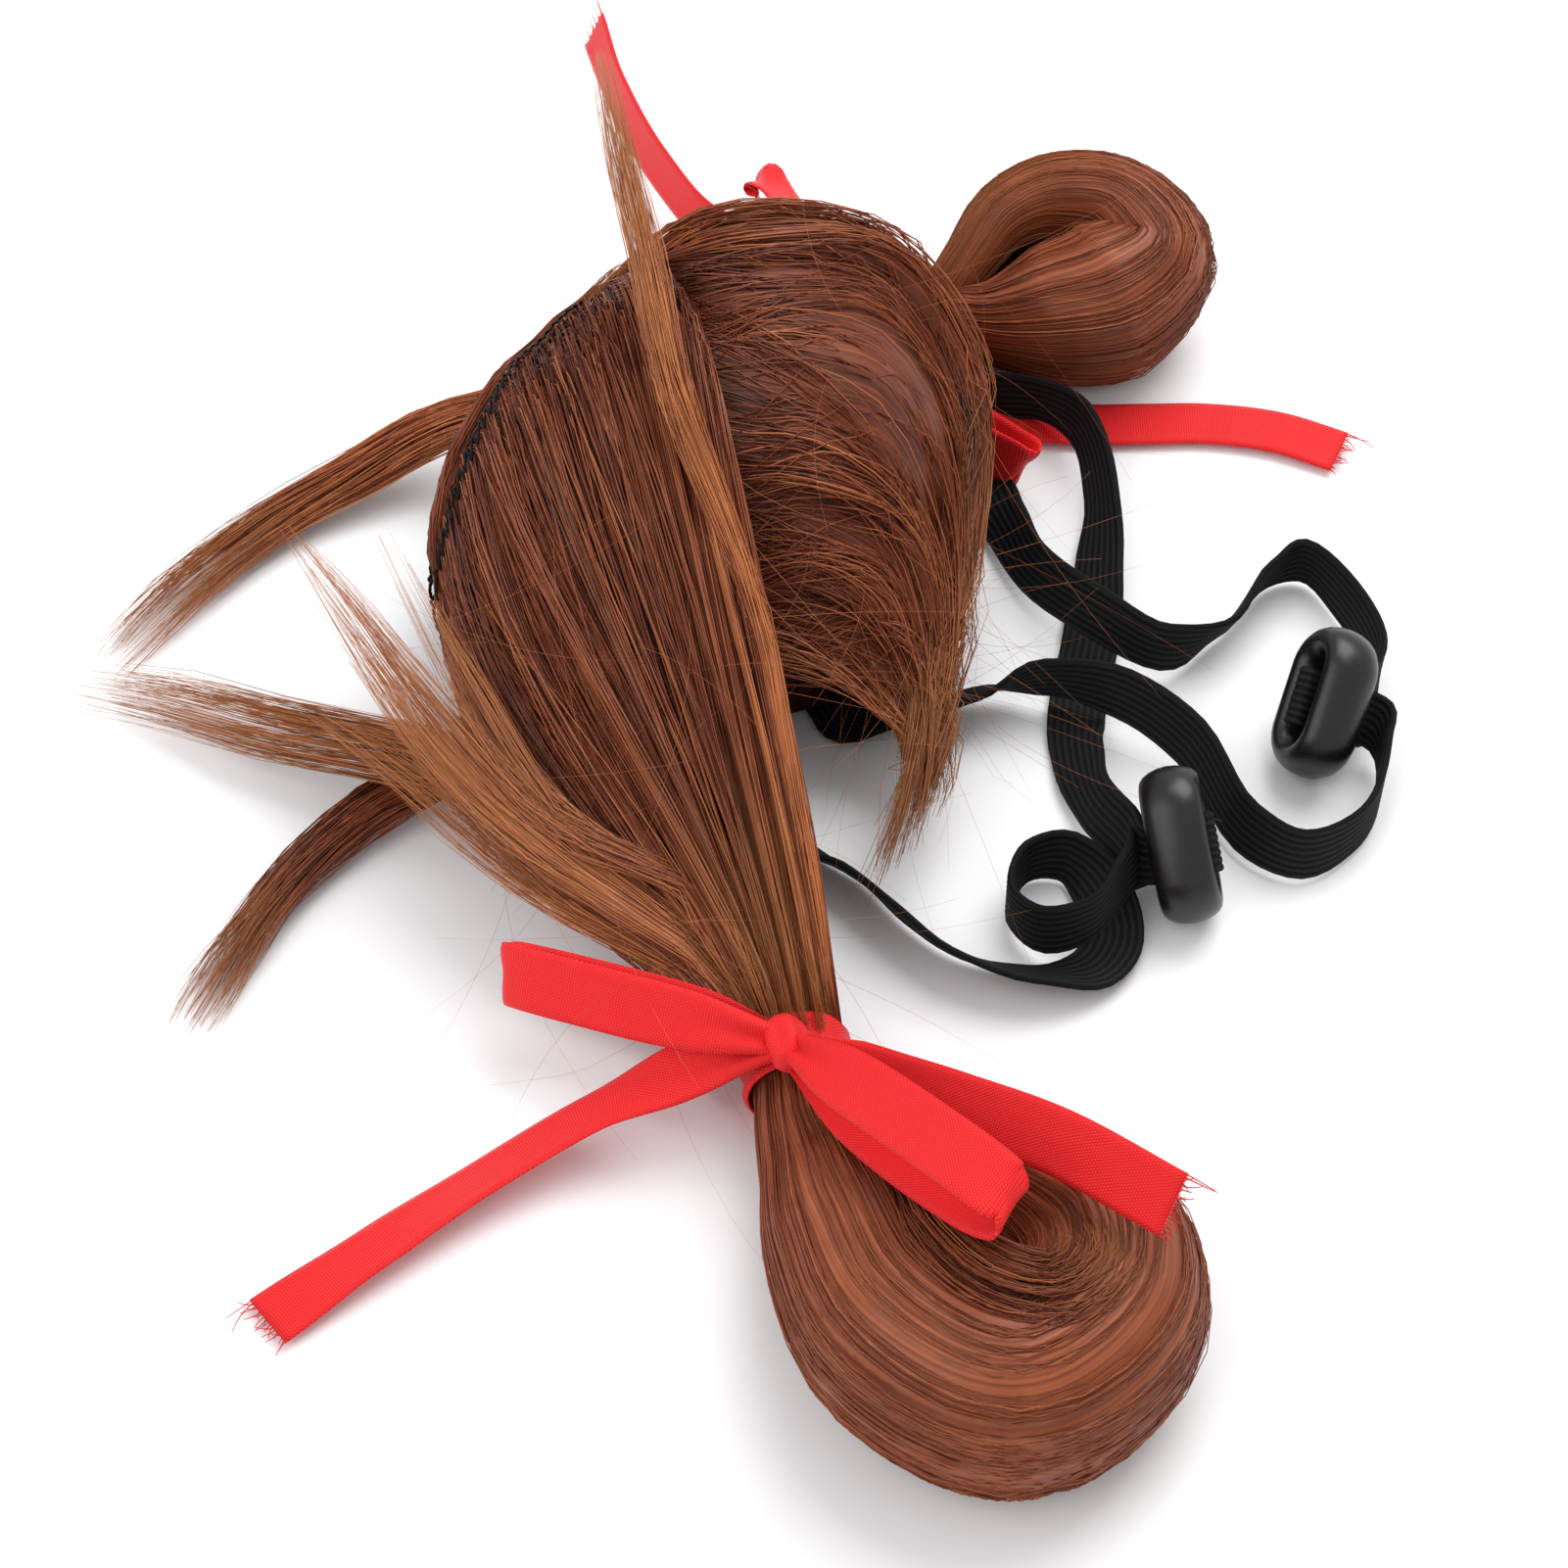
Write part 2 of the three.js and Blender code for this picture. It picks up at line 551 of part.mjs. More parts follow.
// Hair combed from a row of roots over the cap into a round neck at the tie.
function combed(roots, tie, locks, rows) {
  const path = new Path(roots.map((r) => ({ ...r, z: 0 })));
  const along = aim(tie.heading, 0);
  const side = vec(0, 0, 0).crossVectors(along, UP);
  const entry = vec(tie.x, tie.y, tie.z).addScaledVector(along, -NECK_LENGTH);
  const lines = new Map();
  const face = (over) => (u, v) => {
    if (!lines.has(`${over},${u}`)) {
      const start = path.point(u);
      const angle = mix(Math.PI * 0.92, Math.PI * 0.08, u);
      const end = entry.clone().addScaledVector(side, -Math.cos(angle) * tie.radius);
      end.z += over * Math.sin(angle) * tie.radius;
      const thick = over > 0 ? HAIR_THICK * (1 + 0.25 * Math.abs(Math.sin(Math.PI * locks * u))) : 0;
      const clear = HAIR_CLEAR + thick;
      start.z = capTop(start.x, start.y) + HAIR_CLEAR + thick * ROOT_SHARE;
      lines.set(`${over},${u}`, { line: taut(start, end, clear, path.value("bulge", u)), end });
    }
    const { line, end } = lines.get(`${over},${u}`);
    const bend = 1 - 1 / rows;
    if (v <= bend) {
      return line(v / bend);
    }
    return end.clone().addScaledVector(along, ((v - bend) / (1 - bend)) * (NECK_LENGTH - GAP / 2));
  };
  return slab(face(1), face(-1), locks * 3, rows, false);
}

// The fringe: a sheet of swept locks, thin and ragged at its tips.
function swept(rows, locks, steps) {
  const stages = ["root", "crest", "brow", "turn", "fall", "tip"];
  const curves = rows.map((row) => new THREE.CatmullRomCurve3(stages.map((s) => vec(...row[s])), false, "centripetal"));
  const outerFace = (u, v) => {
    const last = curves.length - 1;
    const i = Math.min(Math.floor(u * last), last - 1);
    const f = u * last - i;
    const ragged = v * (1 - 0.1 * v * Math.abs(Math.sin(Math.PI * locks * u)));
    const pick = (k) => curves[Math.min(Math.max(i + k, 0), last)].getPoint(ragged);
    const [a, b, c, d] = [pick(-1), pick(0), pick(1), pick(2)];
    return vec(cubic(a.x, b.x, c.x, d.x, f), cubic(a.y, b.y, c.y, d.y, f), cubic(a.z, b.z, c.z, d.z, f));
  };
  const normal = (u, v) => {
    const h = 0.01;
    const du = outerFace(Math.min(u + h, 1), v).sub(outerFace(Math.max(u - h, 0), v));
    const dv = outerFace(u, Math.min(v + h, 1)).sub(outerFace(u, Math.max(v - h, 0)));
    return vec(0, 0, 0).crossVectors(dv, du).normalize();
  };
  const thick = (v) => HAIR_THICK * mix(0.9, 0.3, v * v);
  const top = (u, v) => {
    const ridge = 0.8 * Math.abs(Math.cos(Math.PI * locks * u)) * (1 - v);
    return outerFace(u, v).addScaledVector(normal(u, v), ridge);
  };
  const under = (u, v) => outerFace(u, v).addScaledVector(normal(u, v), -thick(v));
  return slab(top, under, locks * 3, steps, false);
}

// A looped pigtail: the hair goes out, round and back to the tie.
function looped(out, back, up, perRow) {
  return onTable(lock(out, up, 10, perRow).add(lock(back, up, 10, perRow)));
}

// An oval ring with an oval section round its hole.
function ovalRing({ centre, along, upright }) {
  const axis = vec(...along).normalize();
  const tall = vec(...upright);
  tall.addScaledVector(axis, -tall.dot(axis)).normalize();
  const side = vec(0, 0, 0).crossVectors(axis, tall);
  const [turns, sides] = [22, 8];
  const points = [];
  const triangles = [];
  for (let i = 0; i < turns; i++) {
    const a = (i / turns) * 2 * Math.PI;
    const outward = tall.clone().multiplyScalar(Math.cos(a) * RING.shortAxis);
    outward.addScaledVector(side, Math.sin(a) * RING.longAxis).normalize();
    for (let j = 0; j < sides; j++) {
      const b = ((j + 0.5) / sides) * 2 * Math.PI;
      const p = vec(...centre);
      p.addScaledVector(tall, Math.cos(a) * RING.longAxis).addScaledVector(side, Math.sin(a) * RING.shortAxis);
      p.addScaledVector(outward, Math.cos(b) * RING.tube).addScaledVector(axis, Math.sin(b) * RING.halfDepth);
      points.push(p);
      const [m, n] = [(i + 1) % turns, (j + 1) % sides];
      triangles.push([i * sides + j, m * sides + j, m * sides + n], [i * sides + j, m * sides + n, i * sides + n]);
    }
  }
  return closed(points, triangles);
}

// The rows of a strap's end: from inside the cap's wall down and out below the rim.
function sewnEnd(azimuth, turn) {
  const spots = [
    { rise: 0.2, inset: CAP_WALL + 2.6 },
    { rise: 0.09, inset: CAP_WALL + 2.2 },
  ];
  const rows = spots.map(({ rise, inset }) => capPoint(azimuth, rise, inset));
  for (const [past, z] of [[-4, 2.4], [0, 1.8], [5, 1.8]]) {
    const out = aim(azimuth, 0).multiplyScalar(capRow(azimuth).radius + past);
    rows.push(vec(CROWN.x + out.x, CROWN.y + out.y, z));
  }
  return rows.map((p) => ({ x: p.x, y: p.y, z: p.z, heading: azimuth + turn, tilt: 0 }));
}

// The rows of a strap doubled through its ring, between its far and near runs.
function throughRing(strap) {
  const ring = RINGS[strap.ring];
  const axis = vec(...ring.along).normalize();
  const tall = vec(...ring.upright);
  tall.addScaledVector(axis, -tall.dot(axis)).normalize();
  const side = vec(0, 0, 0).crossVectors(axis, tall);
  const heading = (Math.atan2(tall.y, tall.x) * 180) / Math.PI;
  const tilt = (Math.asin(tall.z) * 180) / Math.PI;
  const layer = ELASTIC.thick / 2 + 0.18;
  const spots = [
    { deep: 6, off: -layer },
    { deep: 0, off: -layer },
    { deep: -6, off: -layer },
    { deep: -9.5, off: -1.9 },
    { deep: -11.6, off: 0 },
    { deep: -9.5, off: 1.9 },
    { deep: -6, off: layer },
    { deep: 0, off: layer },
    { deep: 6, off: layer },
  ];
  const rows = spots.map(({ deep, off }) => {
    const p = vec(...ring.centre).addScaledVector(axis, deep).addScaledVector(side, off);
    return { x: p.x, y: p.y, z: p.z, heading, tilt };
  });
  const [start, end] = [sewnEnd(strap.farAzimuth, 90), sewnEnd(strap.nearAzimuth, -90).reverse()];
  return [...start, ...strap.far, ...rows, ...strap.near, ...end];
}

// A tied bow: a wrap round the neck, a knot, two loops and two free tails.
function bow({ knot, loops, tails }, tie) {
  const along = aim(tie.heading, 0);
  const side = vec(0, 0, 0).crossVectors(along, UP);
  const middle = vec(tie.x, tie.y, tie.z);
  const inside = tie.radius + GAP;
  const turns = 16;
  const wrap = (reach) => (u, v) => {
    const a = u * 2 * Math.PI;
    const p = middle.clone().addScaledVector(along, (v - 0.5) * RIBBON.wide);
    p.addScaledVector(side, Math.cos(a) * reach);
    p.z += Math.sin(a) * reach;
    return p;
  };
  let solid = tube(wrap(inside + RIBBON.thick), wrap(inside), turns);
  const centre = vec(knot.x, knot.y, knot.z);
  const rows = [-1, -0.6, 0.6, 1].map((k) => {
    const p = centre.clone().addScaledVector(aim(knot.heading + 90, 0), k * 4.6);
    const size = Math.abs(k) === 1 ? 0.55 : 1;
    return { x: p.x, y: p.y, z: p.z, wide: 4.6 * size, tall: 3.6 * size };
  });
  solid = solid.add(lock(rows, UP, 10, 1));
  for (const tip of loops) {
    solid = solid.add(bowLoop(centre, tip));
  }
  for (const tail of tails) {
    const first = { x: centre.x, y: centre.y, z: centre.z, heading: tail[0].heading, tilt: tail[0].tilt };
    solid = solid.add(band([first, ...tail], RIBBON, 2));
  }
  return solid;
}

// A tube wall between two round faces, open at both ends.
function tube(outer, inner, turns) {
  const points = [];
  const triangles = [];
  for (let i = 0; i < turns; i++) {
    points.push(outer(i / turns, 0), outer(i / turns, 1), inner(i / turns, 1), inner(i / turns, 0));
    const next = (i + 1) % turns;
    for (let j = 0; j < 4; j++) {
      const k = (j + 1) % 4;
      triangles.push([i * 4 + j, next * 4 + j, next * 4 + k], [i * 4 + j, next * 4 + k, i * 4 + k]);
    }
  }
  return closed(points, triangles);
}

// One loop of a bow from the knot to its tip and back.
function bowLoop(centre, tip) {
  const ahead = vec(tip.x, tip.y, tip.z).sub(centre);
  const across = aim(tip.heading, tip.tilt);
  const off = vec(0, 0, 0).crossVectors(across, ahead).normalize();
  const stages = [
    { way: 0.02, part: 0.14 },
    { way: 0.3, part: 0.8 },
    { way: 0.65, part: 1 },
    { way: 0.92, part: 0.72 },
    { way: 1, part: 0 },
    { way: 0.92, part: -0.72 },
    { way: 0.65, part: -1 },
    { way: 0.3, part: -0.8 },
    { way: 0.02, part: -0.14 },
  ];
  const rows = stages.map(({ way, part }) => {
    const p = centre.clone().addScaledVector(ahead, way).addScaledVector(off, part * tip.fat);
    p.addScaledVector(across, Math.max(-part, 0) * tip.slip);
    return { x: p.x, y: p.y, z: p.z, heading: tip.heading, tilt: tip.tilt };
  });
  return band(rows, RIBBON, 2);
}

// The cap: a thin dome, open below, with an arched back rim.
function cap() {
  const face = (wall) => (u, v) => capPoint(u * 360, v, wall);
  return slab(face(0), face(CAP_WALL), 32, 7, true);
}

// One named mesh with its own material.
function piece(name, solid, colour, roughness, metalness) {
  const made = solid.getMesh();
  const geometry = new THREE.BufferGeometry();
  geometry.setAttribute("position", new THREE.BufferAttribute(new Float32Array(made.vertProperties), 3));
  geometry.setIndex(new THREE.BufferAttribute(new Uint32Array(made.triVerts), 1));
  geometry.computeVertexNormals();
  const mesh = new THREE.Mesh(geometry, new THREE.MeshStandardMaterial({ color: colour, roughness, metalness }));
  mesh.name = name;
  return mesh;
}

const wig = new THREE.Group();
wig.name = "dog_wig";
wig.add(piece("cap", cap(), COLOURS.dark, 0.9, 0));
wig.add(piece("side_hair_near", combed(NEAR_ROOTS, NEAR_TIE, 8, 12), COLOURS.hair, 0.5, 0));
wig.add(piece("side_hair_far", combed(FAR_ROOTS, FAR_TIE, 6, 10), COLOURS.hair, 0.5, 0));
wig.add(piece("fringe", swept(FRINGE_ROWS, 7, 14), COLOURS.hair, 0.5, 0));
wig.add(piece("tail_near", looped(NEAR_OUT, NEAR_BACK, UP, 3), COLOURS.hair, 0.5, 0));
wig.add(piece("tail_far", looped(FAR_OUT, FAR_BACK, FAR_TAIL_UP, 3), COLOURS.hair, 0.5, 0));
for (const [name, rows] of Object.entries(LOCKS)) {
  wig.add(piece(name, lock(rows, UP, 7, 3), COLOURS.hair, 0.5, 0));
}
wig.add(piece("bow_near", bow(BOWS.bow_near, NEAR_TIE), COLOURS.ribbon, 0.5, 0));
wig.add(piece("bow_far", bow(BOWS.bow_far, FAR_TIE), COLOURS.ribbon, 0.5, 0));
wig.add(piece("strap_front", band(throughRing(STRAP_FRONT), ELASTIC, 2), COLOURS.elastic, 0.85, 0));
wig.add(piece("strap_rear", band(throughRing(STRAP_REAR), ELASTIC, 2), COLOURS.elastic, 0.85, 0));
for (const [name, ring] of Object.entries(RINGS)) {
  wig.add(piece(name, ovalRing(ring), COLOURS.plastic, 0.4, 0));
}

// The frame's origin is the middle of the box's underside.
const box = new THREE.Box3().setFromObject(wig);
wig.position.set(-(box.min.x + box.max.x) / 2, -(box.min.y + box.max.y) / 2, -box.min.z);

export default wig;
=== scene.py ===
"""Brown dog wig with two looped pigtails, red ribbon bows and black elastic chin straps.

The wig lies crown up on a pale table. Tables are in millimetres in the maker's layout: X towards the
fringe, Y from the near pigtail to the far one, Z up from the table. The layout's place in the frame is
found from the rear slider.
"""

import logging
import math
from dataclasses import dataclass, field
from enum import Enum

import bpy
import numpy as np
from mathutils import Matrix, Vector


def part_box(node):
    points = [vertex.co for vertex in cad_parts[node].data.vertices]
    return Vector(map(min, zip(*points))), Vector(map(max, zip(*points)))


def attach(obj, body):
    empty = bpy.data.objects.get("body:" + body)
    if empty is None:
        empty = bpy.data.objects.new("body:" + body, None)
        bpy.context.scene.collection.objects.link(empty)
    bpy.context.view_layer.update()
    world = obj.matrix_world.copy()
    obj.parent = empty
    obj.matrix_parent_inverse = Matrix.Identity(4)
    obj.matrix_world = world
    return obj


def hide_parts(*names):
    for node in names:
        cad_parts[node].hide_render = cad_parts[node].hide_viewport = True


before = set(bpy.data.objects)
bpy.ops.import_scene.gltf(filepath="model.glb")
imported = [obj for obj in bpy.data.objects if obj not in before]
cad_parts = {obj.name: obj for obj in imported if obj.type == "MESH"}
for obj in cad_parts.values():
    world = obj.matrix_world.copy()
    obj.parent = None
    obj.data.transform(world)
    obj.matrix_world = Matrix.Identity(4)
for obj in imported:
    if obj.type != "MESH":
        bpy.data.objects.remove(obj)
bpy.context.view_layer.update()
LOG = logging.getLogger("dog_wig")

MM = 0.001
UP = np.array([0.0, 0.0, 1.0])
TABLE_CLEAR = 0.25
TABLE_TOUCH = TABLE_CLEAR * 0.4


class Slot(Enum):
    """Names of material slots."""

    CAP = "cap_cloth"
    HAIR = "hair"
    RIBBON = "ribbon"
    ELASTIC = "elastic"
    RING = "ring_plastic"


class Held(Enum):
    """How a length of cloth lies."""

    FOLDED = "folded"
    LAID = "laid"


@dataclass(frozen=True)
class RimRow:
    """The cap's rim and side at one azimuth: full is 1 for an elliptical side, more for a squarer one."""

    azimuth: float
    radius: float
    rim: float
    full: float


@dataclass(frozen=True)
class Root:
    """A place in plan where combed hair starts, and how far its way to the tie bows out."""

    x: float
    y: float
    bulge: float


@dataclass(frozen=True)
class Section:
    """An oval section of a lock of hair."""

    x: float
    y: float
    z: float
    wide: float
    tall: float


@dataclass(frozen=True)
class Turn:
    """A place on a flat band, with the heading and tilt of its width."""

    x: float
    y: float
    z: float
    heading: float
    tilt: float


@dataclass(frozen=True)
class Tie:
    """The round neck of hair that a bow holds."""

    x: float
    y: float
    z: float
    heading: float
    radius: float


@dataclass(frozen=True)
class LoopTip:
    """A bow's loop: its tip, its width's way, half its opening, its return's slip and its sag."""

    x: float
    y: float
    z: float
    heading: float
    tilt: float
    fat: float
    slip: float
    sag: tuple[float, float, float] = (0.0, 0.0, 0.0)


def row_table(kind: type, *values: tuple) -> tuple:
    """A table of rows of one kind."""
    return tuple(kind(*row) for row in values)


CROWN = (-14.0, 56.0, 60.0)
CAP_WALL = 2.0
HAIR_THICK = 5.0
HAIR_CLEAR = 2.5
ROOT_SHARE = 0.35
NECK_LENGTH = 7.0
RIBBON_WIDE, RIBBON_THICK = 10.0, 0.7
ELASTIC_WIDE, ELASTIC_THICK = 10.0, 1.2
ELASTIC_RIBS = 8
# A wave texture at scale 1 repeats every 0.314 of its map, so a count of repeats times that is its scale.
# A count over 3.14 gives almost the same, and the woven threads and knitted loops use it.
WAVE_STEP, WAVE_TURN = 0.314, 3.14
NEAR_TIE = Tie(2, -66, 9.5, -83, 7.5)
FAR_TIE = Tie(21, 107, 8.4, 8, 6)

CAP_ROWS = row_table(
    RimRow,
    (0, 47, 4.4, 1.2), (45, 48, 4.4, 1.25), (75, 45, 4, 1.15), (100, 41, 6, 0.95), (120, 35, 13, 0.75),
    (140, 32.5, 16, 0.62), (160, 35, 14, 0.6), (180, 42, 10, 0.7), (200, 50, 6, 0.9), (225, 53, 0, 1.0),
    (250, 48, 0, 1.0), (270, 46, 4.4, 1.0), (300, 46, 4.4, 1.1), (330, 47, 4.4, 1.2),
)
NEAR_ROOTS = row_table(
    Root,
    (-53, 24, 14), (-58, 38, 12), (-51, 54, 8), (-43, 65, 4), (-34.5, 72.5, 0), (-27, 72, 0),
    (-21, 63, 0), (-16, 53, 0), (-13, 44, 0),
)
FAR_ROOTS = row_table(
    Root,
    (27, 76, 0), (16, 82, 0), (4, 79, 0), (-8, 75, 0), (-17, 73, 0), (-25, 82, 0),
)
# Fringe guides from the far side to the near side: root, crest, brow, turn, fall and tip.
FRINGE_ROWS = (
    ((-40, 67, 39), (-14, 73.5, 61.5), (17, 80.5, 53), (33.5, 68, 36), (32, 33, 21), (19, -26, 14)),
    ((-24, 62, 60), (-5, 67, 62.5), (19, 75.5, 53), (33.5, 63, 35), (31.5, 29, 20.5), (13, -34, 12)),
    ((-19, 50, 57.5), (-1, 50, 62), (17, 54.8, 52), (28.5, 44, 34.4), (28.5, 18, 20), (16, -28, 12)),
    ((-15, 31, 48), (4, 31.5, 53.5), (19.5, 33.4, 41), (27, 26.2, 26.6), (27, 8, 18), (20, -19, 12)),
    ((-12, 21, 39), (3, 20.5, 43), (17.5, 21, 35), (23.5, 15, 25), (25.5, 4, 17), (21.5, -15, 12)),
    ((-10, 13, 28), (3, 12.5, 31.5), (13, 12, 28), (19.5, 9, 22), (23.5, 2, 17), (22.5, -11, 13)),
    ((-9, 8, 18), (3, 7, 21), (11, 6.5, 20), (17, 4, 17), (21, -1, 15), (22, -8, 13)),
)
NEAR_LOOP = row_table(
    Section,
    (2, -66.3, 9.5, 7.1, 7.1), (2.7, -71.7, 9.5, 7.1, 7.1), (4, -78, 9.4, 8.2, 8),
    (7, -87, 10.2, 10.6, 9.8), (11, -101, 13.4, 14, 13.6), (18, -118, 15.3, 15.4, 16.8),
    (33, -127, 15.3, 15.4, 16.8), (46, -116, 15.3, 15.4, 16.8), (46, -103, 14, 15, 15),
    (35, -91, 12, 11.5, 11.8), (18, -83, 9, 9, 8.4), (7, -78, 9.2, 7.4, 7.4), (2.8, -72, 9.5, 6.7, 6.7),
)
FAR_LOOP = row_table(
    Section,
    (21.3, 107, 8.4, 5.7, 5.7), (27.6, 107.5, 8.4, 5.4, 5.6), (32.5, 105.5, 9.2, 5.6, 6.8),
    (39, 102.5, 11, 7.2, 10), (49, 102.5, 13, 12.5, 14.5), (60, 105, 14.5, 15, 16),
    (68.5, 112, 17.5, 11.5, 15), (62, 122.5, 21.5, 8.5, 13), (50, 125, 21.5, 7.5, 12),
    (41, 121.5, 20, 6.2, 9.5), (34.5, 115, 15, 5, 7), (29, 109.5, 10, 4.5, 5.5),
)
FAR_LOOP_UP = (0.0, -0.5, 0.87)
RING_HALF = (10.3, 5.4)
RING_TUBE, RING_DEEP = 2.8, 5.0


@dataclass(frozen=True)
class RingPlace:
    """Where a slider lies: its middle, the way through its hole and the long way of its oval."""

    centre: tuple[float, float, float]
    along: tuple[float, float, float]
    upright: tuple[float, float, float]

    def axes(self) -> tuple[np.ndarray, np.ndarray, np.ndarray]:
        """Squares the slider's three ways.

        Returns:
            The way through the hole, the oval's long way and its short way.
        """
        axis = unit(np.array(self.along, float))
        tall = np.array(self.upright, float)
        tall = unit(tall - axis * (tall @ axis))
        return axis, tall, np.cross(axis, tall)


RING_FRONT = RingPlace((91.5, 8.5, 10.8), (0.884, 0.018, -0.468), (0.309, 0.729, 0.612))
RING_REAR = RingPlace((65, -22.5, 10.6), (-0.967, -0.035, -0.251), (-0.191, 0.752, 0.631))


def layout_shift() -> np.ndarray:
    """Finds the layout's place in the frame from the rear slider's box.

    Returns:
        What is added to a layout point, in millimetres.
    """
    low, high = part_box("ring_rear")
    return np.array((low + high) / 2) / MM - np.array(RING_REAR.centre)


SHIFT = layout_shift()


def to_frame(points: np.ndarray) -> np.ndarray:
    """Layout millimetres to metres in the frame.

    Args:
        points: Points in layout millimetres, the last axis being x, y and z.

    Returns:
        The same points in the frame, in metres.
    """
    return (np.asarray(points, float) + SHIFT) * MM


def unit(vectors: np.ndarray) -> np.ndarray:
    """Vectors of length one along the last axis."""
    return vectors / np.maximum(np.linalg.norm(vectors, axis=-1, keepdims=True), 1e-9)


def aim(heading: float, tilt: float) -> np.ndarray:
    """The direction with a heading in plan and a tilt above it, both in degrees."""
    h, t = math.radians(heading), math.radians(tilt)
    return np.array([math.cos(t) * math.cos(h), math.cos(t) * math.sin(h), math.sin(t)])


def ease(low: float, high: float, value: np.ndarray) -> np.ndarray:
    """A smooth step from 0 at low to 1 at high."""
    f = np.clip((value - low) / (high - low), 0, 1)
    return f * f * (3 - 2 * f)


def raise_to(points: np.ndarray, floor: np.ndarray | float) -> None:
    """Lifts points that lie below a floor up to it."""
    points[..., 2] = np.maximum(points[..., 2], floor)


def hermite(
    a: np.ndarray, way_a: np.ndarray, b: np.ndarray, way_b: np.ndarray, w: np.ndarray
) -> np.ndarray:
    """A smooth cubic from a to b with the ways given at both, at shares w of the distance."""
    w2, w3 = w * w, w * w * w
    return (2 * w3 - 3 * w2 + 1) * a + (w3 - 2 * w2 + w) * way_a + (3 * w2 - 2 * w3) * b + (w3 - w2) * way_b


def spline(rows: np.ndarray, t: np.ndarray) -> np.ndarray:
    """A centripetal curve through rows.

    Args:
        rows: Points, one a row.
        t: Places along the rows, 0 at the first and 1 at the last.

    Returns:
        One point for each place.
    """
    rows = np.asarray(rows, float)
    padded = np.vstack([2 * rows[0] - rows[1], rows, 2 * rows[-1] - rows[-2]])
    place = np.clip(t, 0, 1) * (len(rows) - 1)
    i = np.minimum(place.astype(int), len(rows) - 2)
    w = (place - i)[..., None]
    p0, p1, p2, p3 = (padded[i + k] for k in range(4))

    def span(a: np.ndarray, b: np.ndarray) -> np.ndarray:
        """The root of the distance between two rows."""
        return np.maximum(np.sqrt(np.linalg.norm(b - a, axis=-1, keepdims=True)), 1e-4)

    d0, d1, d2 = span(p0, p1), span(p1, p2), span(p2, p3)
    m1 = ((p1 - p0) / d0 - (p2 - p0) / (d0 + d1) + (p2 - p1) / d1) * d1
    m2 = ((p2 - p1) / d1 - (p3 - p1) / (d1 + d2) + (p3 - p2) / d2) * d1
    return hermite(p1, m1, p2, m2, w)


def column(rows: tuple, key: str, t: np.ndarray) -> np.ndarray:
    """A row column's values at places 0 to 1 along the rows."""
    return np.interp(t * (len(rows) - 1), np.arange(len(rows)), [getattr(r, key) for r in rows])


def places(rows: tuple) -> np.ndarray:
    """The x, y and z of rows as an array."""
    return np.array([(r.x, r.y, r.z) for r in rows], float)


def ways(points: np.ndarray) -> np.ndarray:
    """The directions along lines of points, on the last but one axis."""
    return unit(np.gradient(points, axis=-2))


def linear(hex_colour: str) -> tuple[float, float, float, float]:
    """An sRGB hex colour as linear red, green, blue and alpha."""
    values = [int(hex_colour[i : i + 2], 16) / 255 for i in (1, 3, 5)]
    return (*[v / 12.92 if v <= 0.04045 else ((v + 0.055) / 1.055) ** 2.4 for v in values], 1.0)


def strand_steps(rng: np.random.Generator, strands: int, steps: int) -> np.ndarray:
    """Places 0 to 1 along strands, each strand's inner ones set off from its neighbours'.

    Args:
        rng: Random numbers.
        strands: How many strands.
        steps: How many places on each.

    Returns:
        Places as strand and step.
    """
    t = np.tile(np.arange(steps, dtype=float), (strands, 1))
    t[:, 1:-1] += rng.uniform(-0.5, 0.5, (strands, 1))
    return t / (steps - 1)


def grain(shape: tuple[int, ...], tone: np.ndarray | float, along: np.ndarray | float) -> np.ndarray:
    """The map of a piece's points, which its finish reads.

    Args:
        shape: The points' shape without their axis.
        tone: The first value: a strand's tone, or the place across a band.
        along: The second value: the place along.

    Returns:
        A pair of values for each point.
    """
    uv = np.empty((*shape, 2))
    uv[..., 0] = tone
    uv[..., 1] = along
    return uv


# A way that few strands run along, which their three sides are set out from.
STRAND_UP = np.array([0.31, 0.17, 0.93])


